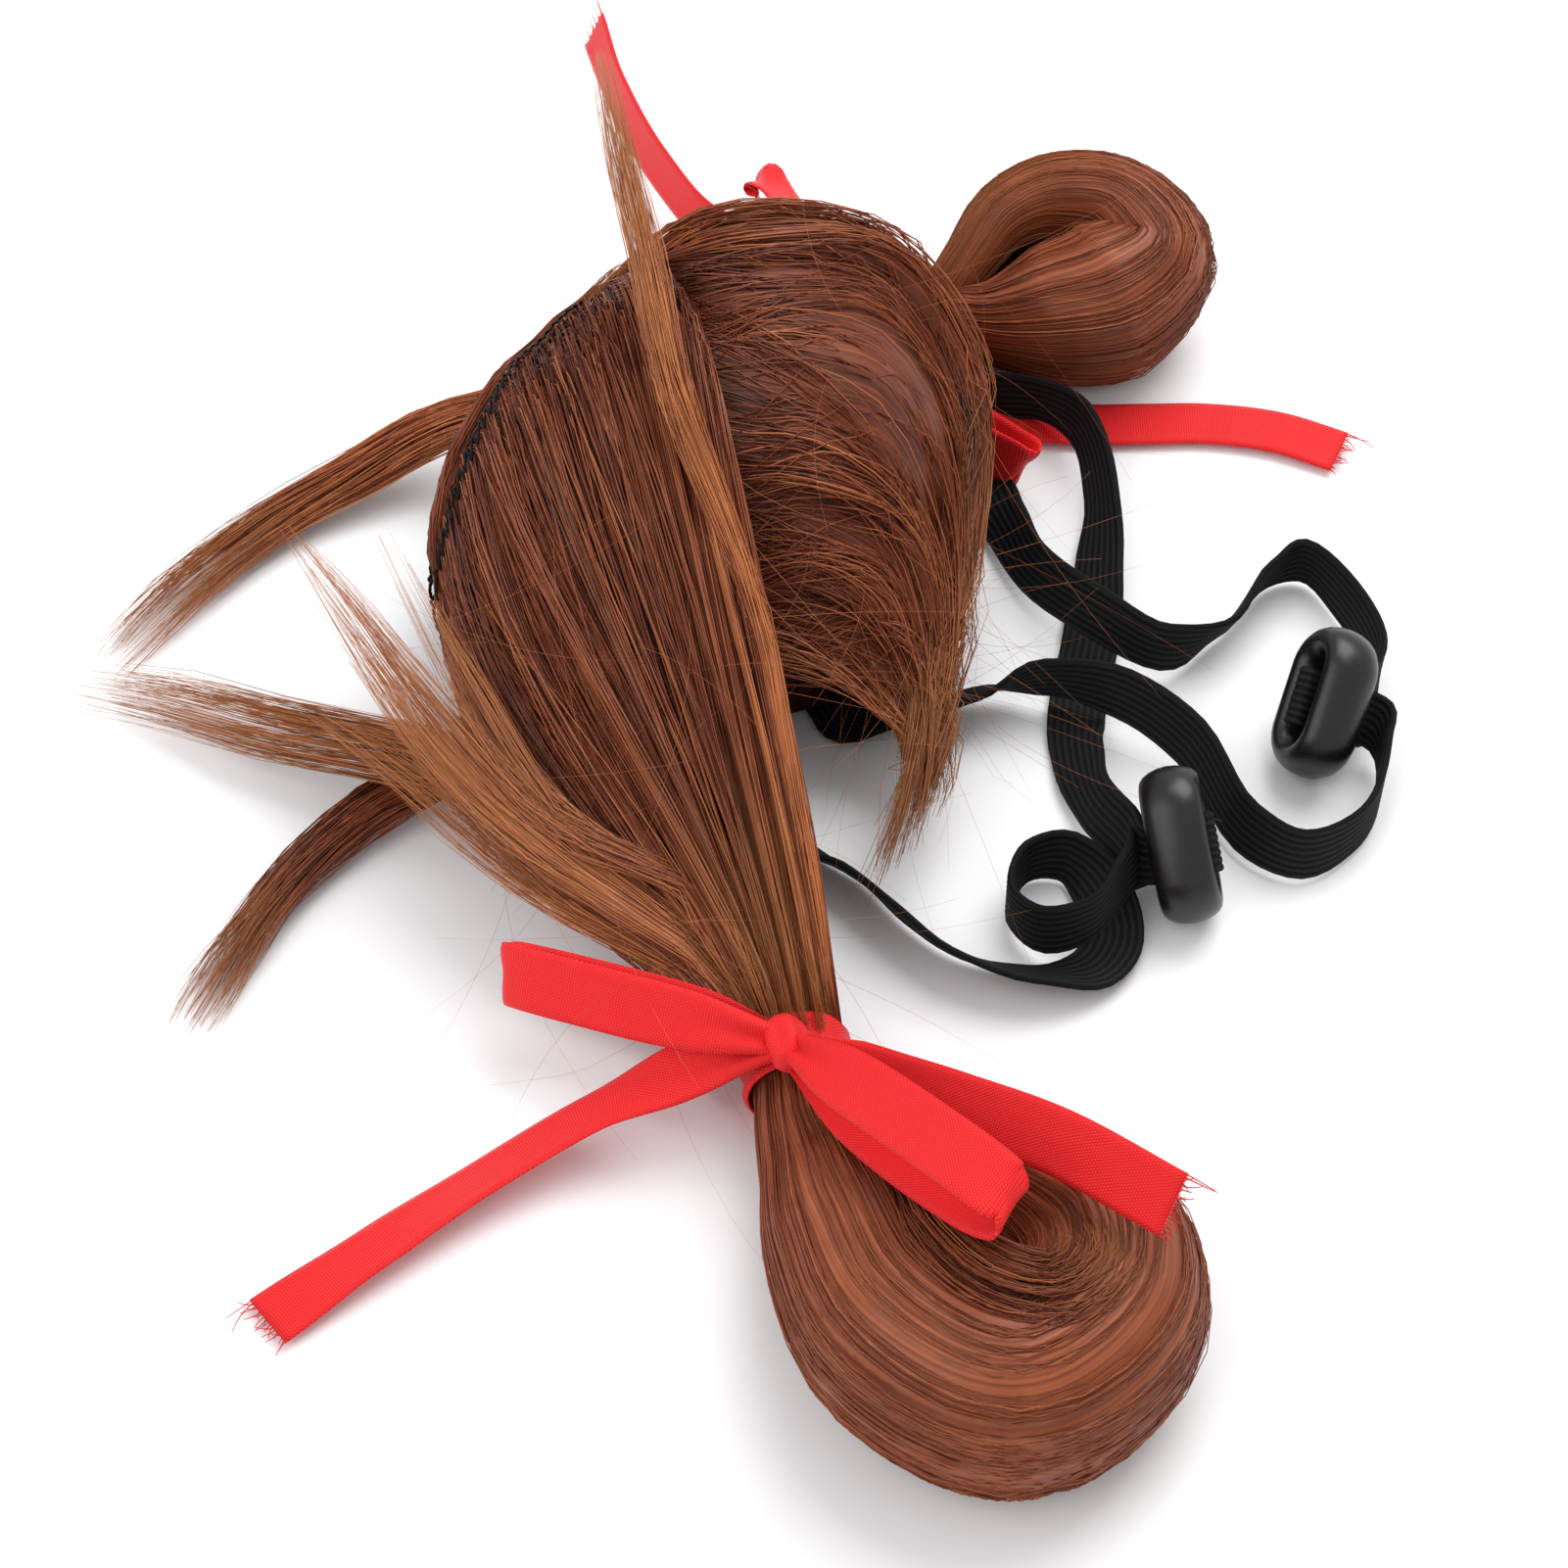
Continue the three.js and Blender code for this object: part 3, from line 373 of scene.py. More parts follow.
class MeshBuffer:
    """Gathers points and faces of one piece, in layout millimetres, and makes its mesh."""

    def __init__(self) -> None:
        """Starts empty."""
        self.points: list[np.ndarray] = []
        self.faces: list[np.ndarray] = []
        self.uvs: list[np.ndarray] = []
        self.count = 0

    def add(self, points: np.ndarray, faces: np.ndarray, uv: np.ndarray) -> None:
        """Adds points with faces of one corner count.

        Args:
            points: New points.
            faces: Corners of each face, counted from the first new point.
            uv: A pair of values for each new point.
        """
        self.points.append(points.reshape(-1, 3))
        self.faces.append(faces + self.count)
        self.uvs.append(uv.reshape(-1, 2)[faces])
        self.count += len(self.points[-1])

    def more(self, faces: np.ndarray, uv: np.ndarray) -> None:
        """Adds faces on the points that were added last.

        Args:
            faces: Corners, counted from the first of those points.
            uv: A pair of values for each of those points.
        """
        self.faces.append(faces + self.count - len(self.points[-1]))
        self.uvs.append(uv.reshape(-1, 2)[faces])

    def add_rings(self, rings: np.ndarray, uv: np.ndarray, loop: bool = False) -> None:
        """Skins a tube over rings of points.

        Args:
            rings: Points as ring, corner and axis, each ring turning right-handed about the way ahead.
            uv: A pair of values for each point.
            loop: Whether the last ring joins the first; otherwise both ends are closed.
        """
        n, k = rings.shape[:2]
        i, j = np.meshgrid(np.arange(n if loop else n - 1), np.arange(k), indexing="ij")
        a, b = (i + 1) % n, (j + 1) % k
        quads = np.stack([i * k + j, i * k + b, a * k + b, a * k + j], -1).reshape(-1, 4)
        self.add(rings, quads, uv)
        if not loop:
            ends = np.array([np.arange(k)[::-1], (n - 1) * k + np.arange(k)])
            self.more(ends, uv)

    def add_strands(
        self, paths: np.ndarray, radius: np.ndarray, taper: np.ndarray, tone: np.ndarray
    ) -> None:
        """Adds a thin three-sided tube along each path.

        Args:
            paths: Points as strand, place and axis.
            radius: Each strand's radius.
            taper: The share of the radius at each place.
            tone: Each strand's tone, 0 dark to 1 light.
        """
        n, s = paths.shape[:2]
        ahead = ways(paths)
        side = unit(np.cross(ahead, STRAND_UP))
        over = np.cross(ahead, side)
        turn = np.arange(3) * 2 * math.pi / 3 + math.pi / 6
        size = (radius[:, None] * taper[None, :])[:, :, None, None]
        ring = np.cos(turn)[:, None] * side[:, :, None] + np.sin(turn)[:, None] * over[:, :, None]
        points = paths[:, :, None] + ring * size
        uv = grain((n, s, 3), tone[:, None, None], np.linspace(0, 1, s)[:, None])
        base = np.arange(n)[:, None, None] * s * 3
        i, k = np.arange(s - 1)[None, :, None], np.arange(3)[None, None, :]
        m = (k + 1) % 3
        low, high = base + i * 3, base + (i + 1) * 3
        quads = np.stack([low + k, low + m, high + m, high + k], -1)
        self.add(points, quads.reshape(-1, 4), uv)
        first = np.arange(n)[:, None] * s * 3
        self.more(np.vstack([first + [0, 2, 1], first + (s - 1) * 3 + [0, 1, 2]]), uv)

    def add_slab(self, outer: np.ndarray, inner: np.ndarray, uv: np.ndarray) -> None:
        """Closes a sheet between two grids of points.

        Args:
            outer: The outer face as column, row and axis.
            inner: The inner face in the same order.
            uv: A pair of values for each point of a face.
        """
        c, r = outer.shape[:2]
        over, under = np.arange(2 * c * r).reshape(2, c, r)

        def quads(a: np.ndarray, b: np.ndarray, d: np.ndarray, e: np.ndarray) -> np.ndarray:
            """Four corner grids as faces."""
            return np.stack([a, b, d, e], -1).reshape(-1, 4)

        faces = [
            quads(over[:-1, :-1], over[1:, :-1], over[1:, 1:], over[:-1, 1:]),
            quads(under[:-1, :-1], under[:-1, 1:], under[1:, 1:], under[1:, :-1]),
            quads(over[0, :-1], over[0, 1:], under[0, 1:], under[0, :-1]),
            quads(over[-1, :-1], under[-1, :-1], under[-1, 1:], over[-1, 1:]),
            quads(over[:-1, 0], under[:-1, 0], under[1:, 0], over[1:, 0]),
            quads(over[:-1, -1], over[1:, -1], under[1:, -1], under[:-1, -1]),
        ]
        faces = np.vstack(faces)
        points = np.stack([outer, inner])
        corner = points.reshape(-1, 3)
        a, b, d = (corner[faces[: (c - 1) * (r - 1), k]] for k in (0, 1, 2))
        facing = np.einsum("ij,ij->", np.cross(b - a, d - a), (outer - inner)[:-1, :-1].reshape(-1, 3))
        self.add(points, faces if facing > 0 else faces[:, ::-1], np.stack([uv, uv]))

    def build(
        self, name: str, material: bpy.types.Material, nodes: tuple[str, ...], slot: Slot
    ) -> bpy.types.Object:
        """Makes the object, gives it its material and sets it on the frame.

        Args:
            name: The piece's name.
            material: Its finish.
            nodes: The frame's nodes that it stands for.
            slot: Not used.

        Returns:
            The finished object.
        """
        mesh = bpy.data.meshes.new(name)
        points = to_frame(np.vstack(self.points))
        sizes = np.concatenate([np.full(len(f), f.shape[1]) for f in self.faces])
        corners = np.concatenate([f.ravel() for f in self.faces]).astype(np.int32)
        starts = np.concatenate([[0], np.cumsum(sizes)[:-1]]).astype(np.int32)
        mesh.vertices.add(len(points))
        mesh.vertices.foreach_set("co", points.astype(np.float32).ravel())
        mesh.loops.add(len(corners))
        mesh.loops.foreach_set("vertex_index", corners)
        mesh.polygons.add(len(sizes))
        mesh.polygons.foreach_set("loop_start", starts)
        mesh.update(calc_edges=True)
        uv = mesh.uv_layers.new(name="grain")
        uv.data.foreach_set("uv", np.concatenate([u.ravel() for u in self.uvs]).astype(np.float32))
        mesh.polygons.foreach_set("use_smooth", np.ones(len(sizes), bool))
        mesh.materials.append(material)
        mesh.validate()
        made = bpy.data.objects.new(name, mesh)
        bpy.context.scene.collection.objects.link(made)
        settle(made, nodes)
        return made


def settle(piece: bpy.types.Object, nodes: tuple[str, ...]) -> None:
    """Sets a finished piece on the frame's one body and reports it.

    Args:
        piece: The finished object.
        nodes: The frame's nodes that it stands for.
    """
    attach(piece, "root")
    if nodes:
        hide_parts(*nodes)
    LOG.info("%s: %d faces", piece.name, len(piece.data.polygons))


class NodeTree:
    """One material's nodes."""

    def __init__(self, name: str) -> None:
        """Starts a material with a shader and an output.

        Args:
            name: The material's name.
        """
        self.material = bpy.data.materials.new(name)
        self.material.use_nodes = True
        self.tree = self.material.node_tree
        self.tree.nodes.clear()
        self.shader = self.node("ShaderNodeBsdfPrincipled")
        self.node("ShaderNodeOutputMaterial", links={"Surface": self.shader.outputs["BSDF"]})

    def node(
        self,
        kind: str,
        settings: dict | None = None,
        sockets: dict | None = None,
        links: dict | None = None,
        stops: tuple[tuple[float, str], ...] = (),
    ) -> bpy.types.Node:
        """Adds a node.

        Args:
            kind: Blender's name for it.
            settings: Its properties.
            sockets: Values for its input sockets.
            links: Output sockets that lead into its inputs.
            stops: A colour ramp's places and hex colours, from the first to the last.

        Returns:
            The new node.
        """
        made = self.tree.nodes.new(kind)
        for key, value in (settings or {}).items():
            setattr(made, key, value)
        for key, value in (sockets or {}).items():
            made.inputs[key].default_value = value
        for key, value in (links or {}).items():
            self.tree.links.new(value, made.inputs[key])
        for _ in stops[2:]:
            made.color_ramp.elements.new(0.5)
        for number, (place, colour) in enumerate(stops):
            mark = made.color_ramp.elements[number]
            mark.position = place
            mark.color = linear(colour)
        return made

    def dress(
        self, colour: bpy.types.NodeSocket, sockets: dict, relief: bpy.types.Node | None = None
    ) -> bpy.types.Material:
        """Leads the colour and relief into the shader and sets its plain values.

        Args:
            colour: The colour's output.
            sockets: Values for the shader's inputs.
            relief: The bump node, if the surface has one.

        Returns:
            The material.
        """
        self.tree.links.new(colour, self.shader.inputs["Base Color"])
        if relief:
            self.tree.links.new(relief.outputs["Normal"], self.shader.inputs["Normal"])
        for key, value in sockets.items():
            self.shader.inputs[key].default_value = value
        return self.material


@dataclass(frozen=True)
class HairFinish:
    """Modacrylic fibre, drawn and heat-set: a silky shine along dark brown strands with lighter ends."""

    dark: str = "#2b100a"
    brown: str = "#6a2f1c"
    warm: str = "#944e30"
    light: str = "#c27848"
    tip: str = "#d08d55"
    shine: str = "#ffe6d6"
    lock_mm: float = 9.0
    lock_shade: float = 0.34
    # Near the roots the tone is darkened to root_shade of itself over root_reach of the length: painted
    # shade.
    root_reach: float = 0.16
    root_shade: float = 0.55
    tip_start: float = 0.62
    tip_share: float = 0.5

    def make(self) -> bpy.types.Material:
        """Builds the material, which reads each strand's tone and length from the piece's map.

        Returns:
            The material.
        """
        tree = NodeTree("brown_modacrylic_hair")
        spread = tree.node("ShaderNodeUVMap", {"uv_map": "grain"})
        parts = tree.node("ShaderNodeSeparateXYZ", links={"Vector": spread.outputs["UV"]})
        place = tree.node("ShaderNodeTexCoord")
        patch = tree.node(
            "ShaderNodeTexNoise",
            sockets={"Scale": 1 / (self.lock_mm * MM), "Detail": 2.0},
            links={"Vector": place.outputs["Object"]},
        )
        shade = tree.node(
            "ShaderNodeMath",
            {"operation": "MULTIPLY_ADD"},
            {1: self.lock_shade, 2: -self.lock_shade / 2},
            {0: patch.outputs["Fac"]},
        )
        tone = tree.node(
            "ShaderNodeMath",
            {"operation": "ADD", "use_clamp": True},
            links={0: parts.outputs["X"], 1: shade.outputs[0]},
        )
        # root darkens the tone near the roots as painted shade; end blends in the lighter tip colour.
        root, end = (
            tree.node(
                "ShaderNodeMapRange",
                {"interpolation_type": "SMOOTHSTEP"},
                {"From Min": start, "From Max": stop, "To Min": low, "To Max": high},
                {"Value": parts.outputs["Y"]},
            )
            for start, stop, low, high in (
                (0.0, self.root_reach, self.root_shade, 1.0),
                (self.tip_start, 1.0, 0.0, self.tip_share),
            )
        )
        shaded = tree.node(
            "ShaderNodeMath",
            {"operation": "MULTIPLY"},
            links={0: tone.outputs[0], 1: root.outputs[0]},
        )
        body = tree.node(
            "ShaderNodeValToRGB",
            links={"Fac": shaded.outputs[0]},
            stops=((0.0, self.dark), (0.3, self.brown), (0.62, self.warm), (1.0, self.light)),
        )
        colour = tree.node(
            "ShaderNodeMix",
            {"data_type": "RGBA"},
            {"B": linear(self.tip)},
            {"Factor": end.outputs["Result"], "A": body.outputs["Color"]},
        )
        gloss = {"Roughness": 0.4, "IOR": 1.5, "Specular IOR Level": 0.4}
        gloss["Specular Tint"] = linear(self.shine)
        return tree.dress(colour.outputs["Result"], gloss)


@dataclass(frozen=True)
class RibbonFinish:
    """Polyester satin ribbon, woven: a soft sheen over fine slanted threads."""

    red: str = "#f9383a"
    shade: str = "#cf1c22"
    sheen: str = "#ff9a8c"
    thread_mm: float = 0.45
    slant: float = 32.0

    def make(self) -> bpy.types.Material:
        """Builds the material; its threads are drawn coarser than real ones so that they show.

        Returns:
            The material.
        """
        tree = NodeTree("red_satin_ribbon")
        spread = tree.node("ShaderNodeUVMap", {"uv_map": "grain"})
        turned = tree.node(
            "ShaderNodeMapping",
            sockets={"Rotation": (0.0, 0.0, math.radians(self.slant))},
            links={"Vector": spread.outputs["UV"]},
        )
        threads, weft = (
            tree.node(
                "ShaderNodeTexWave",
                {"wave_type": "BANDS", "bands_direction": way},
                {"Scale": RIBBON_WIDE / self.thread_mm / WAVE_TURN, "Distortion": stray, "Detail": 1.0},
                {"Vector": source},
            )
            for way, stray, source in (
                ("X", 0.4, turned.outputs["Vector"]),
                ("Y", 0.3, spread.outputs["UV"]),
            )
        )
        weave = tree.node(
            "ShaderNodeMath",
            {"operation": "MULTIPLY"},
            links={0: threads.outputs["Fac"], 1: weft.outputs["Fac"]},
        )
        colour = tree.node(
            "ShaderNodeValToRGB",
            links={"Fac": weave.outputs[0]},
            stops=((0.0, self.shade), (0.6, self.red)),
        )
        relief = tree.node(
            "ShaderNodeBump",
            sockets={"Strength": 0.5, "Distance": 0.0002},
            links={"Height": weave.outputs[0]},
        )
        gloss = {"Roughness": 0.36, "Specular IOR Level": 0.3, "Specular Tint": linear(self.sheen)}
        return tree.dress(colour.outputs["Color"], gloss, relief)


@dataclass(frozen=True)
class ElasticFinish:
    """Knitted elastic: matt black yarn over rubber cords, each cord a rib along the band."""

    black: str = "#050506"
    # The lighter grey along each rib is a painted highlight over the black.
    rib_highlight: str = "#1d1d1f"
    loop_mm: float = 0.7

    def make(self) -> bpy.types.Material:
        """Builds the material, whose ribs and cross threads follow the band's map.

        Returns:
            The material.
        """
        tree = NodeTree("black_knitted_elastic")
        spread = tree.node("ShaderNodeUVMap", {"uv_map": "grain"})
        loops = tree.node(
            "ShaderNodeTexWave",
            {"wave_type": "BANDS", "bands_direction": "Y"},
            {"Scale": ELASTIC_WIDE / self.loop_mm / WAVE_TURN, "Distortion": 1.2, "Detail": 1.0},
            {"Vector": spread.outputs["UV"]},
        )
        ribs = tree.node(
            "ShaderNodeTexWave",
            {"wave_type": "BANDS", "bands_direction": "X"},
            {"Scale": ELASTIC_RIBS * WAVE_STEP},
            {"Vector": spread.outputs["UV"]},
        )
        # Stripes across the band, one for each rib: the lighter part is a painted highlight, the black
        # between painted shade.
        colour = tree.node(
            "ShaderNodeValToRGB",
            links={"Fac": ribs.outputs["Fac"]},
            stops=((0.25, self.black), (1.0, self.rib_highlight)),
        )
        relief = tree.node(
            "ShaderNodeBump",
            sockets={"Strength": 0.15, "Distance": 0.0002},
            links={"Height": loops.outputs["Fac"]},
        )
        return tree.dress(colour.outputs["Color"], {"Roughness": 0.78, "Specular IOR Level": 0.2}, relief)


@dataclass(frozen=True)
class MottledFinish:
    """A surface whose colours, and relief if it has any, follow one pattern through its space."""

    name: str
    texture: str
    level: str
    size_mm: float
    stops: tuple[tuple[float, str], ...]
    gloss: tuple[tuple[str, float], ...]
    settings: tuple[tuple[str, str], ...] = ()
    sockets: tuple[tuple[str, float], ...] = ()
    relief: tuple[float, float] = (0.0, 0.0)
    sunken: bool = False

    def make(self) -> bpy.types.Material:
        """Builds the material.

        Returns:
            The material.
        """
        tree = NodeTree(self.name)
        place = tree.node("ShaderNodeTexCoord")
        pattern = tree.node(
            self.texture,
            dict(self.settings),
            {"Scale": 1 / (self.size_mm * MM), **dict(self.sockets)},
            {"Vector": place.outputs["Object"]},
        )
        level = pattern.outputs[self.level]
        colour = tree.node("ShaderNodeValToRGB", links={"Fac": level}, stops=self.stops)
        strength, deep = self.relief
        bump = None
        if strength:
            height = {"Strength": strength, "Distance": deep}
            bump = tree.node("ShaderNodeBump", {"invert": self.sunken}, height, {"Height": level})
        return tree.dress(colour.outputs["Color"], dict(self.gloss), bump)


# ABS, moulded: black with a satin gloss and a faint grain.
SLIDER_PLASTIC = MottledFinish(
    "black_moulded_abs",
    "ShaderNodeTexNoise",
    "Fac",
    size_mm=0.9,
    stops=((0.3, "#08090a"), (0.8, "#111214")),
    gloss=(("Roughness", 0.34),),
    sockets=(("Detail", 3.0),),
    relief=(0.06, 0.0002),
)
# Warp-knitted net cloth, dark: small open meshes between matt threads. Its dark brown is partly dye
# and partly painted shade where the net shows between the locks.
CAP_NET = MottledFinish(
    "dark_knitted_net",
    "ShaderNodeTexVoronoi",
    "Distance",
    size_mm=1.4,
    stops=((0.06, "#34190f"), (0.2, "#1c0c07")),
    gloss=(("Roughness", 0.9), ("Specular IOR Level", 0.1)),
    settings=(("feature", "DISTANCE_TO_EDGE"),),
    sockets=(("Randomness", 0.35),),
    relief=(0.5, 0.0003),
    sunken=True,
)
# Matt white board: nearly even, with a faint mottle.
TABLE_BOARD = MottledFinish(
    "white_table_board",
    "ShaderNodeTexNoise",
    "Fac",
    size_mm=60.0,
    stops=((0.3, "#f0f0f2"), (0.7, "#f6f6f7")),
    gloss=(("Roughness", 0.7),),
)


class CapForm:
    """The cap's outer face as a formula, for what is sewn to it."""

    def row(self, azimuth: np.ndarray) -> tuple[np.ndarray, np.ndarray, np.ndarray]:
        """The rim's radius and height and the side's fullness.

        Args:
            azimuth: Azimuths in degrees.

        Returns:
            Radius, rim height and fullness at each.
        """
        a = np.mod(np.asarray(azimuth, float), 360)
        starts = np.array([r.azimuth for r in CAP_ROWS], float)
        i = np.searchsorted(starts, a, side="right") - 1
        n = len(CAP_ROWS)
        ends = np.append(starts[1:], 360.0)
        t = (a - starts[i]) / (ends[i] - starts[i])
        found = []
        for key in ("radius", "rim", "full"):
            v = np.array([getattr(r, key) for r in CAP_ROWS], float)
            p0, p1, p2, p3 = (v[(i + k) % n] for k in (-1, 0, 1, 2))
            m0, m1 = (p2 - p0) / 2, (p3 - p1) / 2
            found.append(hermite(p1, m0, p2, m1, t))
        return found[0], np.maximum(found[1], 0), found[2]

    def point(self, azimuth: np.ndarray, rise: np.ndarray, wall: float = 0.0) -> np.ndarray:
        """Points of the face, moved in by a wall.

        Args:
            azimuth: Azimuths in degrees.
            rise: 0 at the rim to 1 at the crown.
            wall: How far in, in millimetres.

        Returns:
            The points.
        """
        radius, rim, full = self.row(azimuth)
        angle = np.asarray(rise, float) * math.pi / 2
        reach = full * np.cos(angle) + (1 - full) * (1 - rise)
        climb = full * np.sin(angle) + (1 - full) * rise
        r = np.maximum(radius - wall, 0) * reach
        z = rim + (CROWN[2] - wall * np.sin(angle) - rim) * climb
        a = np.radians(azimuth)
        return np.stack(np.broadcast_arrays(CROWN[0] + r * np.cos(a), CROWN[1] + r * np.sin(a), z), -1)

    def top(self, x: np.ndarray, y: np.ndarray) -> np.ndarray:
        """The face's height over places in plan, or far below the table outside it."""
        dx, dy = x - CROWN[0], y - CROWN[1]
        azimuth, r = np.degrees(np.arctan2(dy, dx)), np.hypot(dx, dy)
        low, high = np.zeros_like(r), np.ones_like(r)
        for _ in range(24):
            middle = (low + high) / 2
            p = self.point(azimuth, middle)
            outside = np.hypot(p[..., 0] - CROWN[0], p[..., 1] - CROWN[1]) > r
            low, high = np.where(outside, middle, low), np.where(outside, high, middle)
        return np.where(r >= self.row(azimuth)[0], -100.0, self.point(azimuth, low)[..., 2])


CAP = CapForm()


def pick_grid(grid: np.ndarray, w: np.ndarray, u: np.ndarray, t: np.ndarray) -> np.ndarray:
    """Points inside a grid of guide lines.

    Args:
        grid: Guides as layer, column, place and axis, with two layers.
        w: Each strand's depth, 0 at the inner layer and 1 at the outer one.
        u: Places across the columns, for each strand and step.
        t: Places along the guides, for each strand and step.

    Returns:
        Points as strand, place and axis.
    """
    columns, steps = grid.shape[1:3]
    across = u * (columns - 1)
    i = np.clip(across.astype(int), 0, columns - 2)
    f = (across - i)[..., None]
    run = np.clip(t, 0, 1) * (steps - 1)
    k = np.minimum(run.astype(int), steps - 2)
    g = (run - k)[..., None]

    def line(layer: int, c: np.ndarray) -> np.ndarray:
        """Points on one layer's columns."""
        return grid[layer, c, k] * (1 - g) + grid[layer, c, k + 1] * g

    inner = line(0, i) * (1 - f) + line(0, i + 1) * f
    outer = line(1, i) * (1 - f) + line(1, i + 1) * f
    return inner + (outer - inner) * w[:, None, None]


# The core's faces as shares of a sheet's thickness, and how dark a plain core is.
CORE_INNER, CORE_OUTER = 0.1, 0.5
# A plain core is painted dark: painted shade under and between the strands.
CORE_TONE = 0.12
DARKEST, CORE_DARKEST = 0.02, 0.03
# How deep strands lie in a sheet, and the share of its locks that stand proud and by how much.
TOP_DEPTH, DEPTH_SPREAD = 1.03, 0.5
RAISED_SHARE, RAISED_DEPTH = 0.22, 0.22
# How far a sheet's striped core and layered strands stay off the cap, in millimetres.
CORE_UNDER_CLEAR, CORE_CLEAR, STRAND_CLEAR = 0.3, 0.9, 1.2


def off_cap(points: np.ndarray, clear: float) -> None:
    """Lifts points that lie in the cap, or less than a clearance above it."""
    raise_to(points, CAP.top(points[..., 0], points[..., 1]) + clear)


@dataclass
class HairSheet:
    """Hair laid as a sheet of strands between two faces.

    Even is the share of strands that lie in no lock, drift how far locks lean across the sheet, shingles
    the number of stepped layers, and fray how far the last strands work loose. The core has core_reach of
    the length, and core_lines stripes, or none if it is plain and painted dark as shade.
    """

    node: str
    strands: int
    steps: int
    locks: int
    seed: int
    thick_mm: float = 0.15
    sway_mm: float = 0.7
    lift_mm: float = 0.7
    tone: float = 0.42
    even: float = 0.5
    drift: float = 0.03
    shingles: int = 0
    shingle_mm: float = 3.4
    core_reach: float = 1.0
    fray: float = 0.0
    core_lines: int = 0

    def guides(self) -> np.ndarray:
        """Guide lines as layer, column, place and axis."""
        raise NotImplementedError

    def ends(self, rng: np.random.Generator, depth: np.ndarray) -> tuple[np.ndarray, np.ndarray]:
        """Where each strand starts and ends along its guide.

        Args:
            rng: The sheet's own random numbers.
            depth: Each strand's depth.

        Returns:
            Starts and ends, 0 to 1.
        """
        return 0.03 * rng.random(len(depth)), 1 - 0.02 * rng.random(len(depth))

    def build(self, material: bpy.types.Material) -> bpy.types.Object:
        """Makes the sheet's core and its strands.

        Args:
            material: The hair's finish.

        Returns:
            The finished piece.
        """
        grid = self.guides()
        buffer = MeshBuffer()
        self.add_core(buffer, grid)
        self.add_hair(buffer, grid)
        return buffer.build(f"{self.node}_strands", material, (self.node,), Slot.HAIR)

    def add_core(self, buffer: MeshBuffer, grid: np.ndarray) -> None:
        """Adds the closed sheet under the strands.

        Args:
            buffer: The piece's mesh.
            grid: The guides.
        """
        edge = 1 if self.core_lines else grid.shape[1] // 14 + 1
        tip = int(grid.shape[2] * self.core_reach)
        inner, outer = (
            (grid[0] + (grid[1] - grid[0]) * share)[edge:-edge, :tip] for share in (CORE_INNER, CORE_OUTER)
        )
        if self.core_lines:
            self.add_striped_core(buffer, outer, inner, edge / (grid.shape[1] - 1))
        else:
            # A plain core takes CORE_TONE: painted shade under the strands.
            buffer.add_slab(outer, inner, np.full((*outer.shape[:2], 2), CORE_TONE))

    def add_hair(self, buffer: MeshBuffer, grid: np.ndarray) -> None:
        """Adds the strands, some gathered in locks and the rest spread evenly.

        Args:
            buffer: The piece's mesh.
            grid: The guides.
        """
        rng = np.random.default_rng(self.seed)
        middle = rng.random(self.locks)
        mine = rng.integers(self.locks, size=self.strands)
        loose = rng.random(self.strands) < self.even
        anywhere = rng.random(self.strands)
        gathered = middle[mine] + rng.normal(0, 0.5 / self.locks, self.strands)
        u = np.abs(np.where(loose, anywhere, gathered))
        u = np.where(u > 1, 2 - u, u)
        raised = rng.random(self.locks) < RAISED_SHARE
        depth = TOP_DEPTH - DEPTH_SPREAD * rng.random(self.strands) ** 1.5
        depth = depth + RAISED_DEPTH * (raised[mine] & ~loose)
        start, end = self.ends(rng, depth)
        t = start[:, None] + (end - start)[:, None] * strand_steps(rng, self.strands, self.steps)
        lean = rng.normal(0, 1.0, self.locks)[mine] + rng.normal(0, 0.45, self.strands)
        slack = self.fray * ease(0.78, 1.0, u) * rng.random(self.strands) ** 1.6
        u = u[:, None] + self.drift * lean[:, None] * (t - 0.5)
        u = np.clip(u, -0.03, 1.04) + slack[:, None] * np.sin(math.pi * np.clip(t, 0, 1))
        paths = pick_grid(grid, depth, u, t)
        aside = unit(pick_grid(grid, depth, u + 0.02, t) - pick_grid(grid, depth, u - 0.02, t))
        above = unit(np.cross(ways(paths), aside))
        above *= np.sign(np.sum(above * (pick_grid(grid, depth + 0.1, u, t) - paths), -1, keepdims=True))
        tier = np.zeros(self.strands)
        if self.shingles:
            step = (u + 0.015 * rng.normal(0, 1, (self.strands, 1))) * self.shingles
            step = step - np.floor(step)
            paths = paths + above * (self.shingle_mm * (step - 0.8) * ease(0.02, 0.3, t))[..., None]
            tier = np.mean(step, axis=1) - 0.5
            off_cap(paths, STRAND_CLEAR)
        height = rng.uniform(-1, 1.2, self.locks)
        paths = paths + self.waves(rng, mine, t, aside, above, height[mine][:, None])
        raise_to(paths, TABLE_CLEAR)
        shade = rng.normal(0, 0.13, self.locks)[mine] + rng.normal(0, 0.12, self.strands)
        # Painted light and shade: deeper strands, lower locks and strands just under the tier above are
        # darker, and raised strands and higher locks lighter.
        tone = self.tone + shade + 0.5 * (depth - 0.85) + 0.12 * height[mine] + 0.2 * tier
        tone = np.clip(tone, DARKEST, 1)
        taper = np.interp(np.linspace(0, 1, self.steps), [0, 0.1, 0.8, 1], [0.6, 1, 0.95, 0.35])
        radius = self.thick_mm * rng.uniform(0.7, 1.2, self.strands)
        buffer.add_strands(paths, radius, taper, tone)

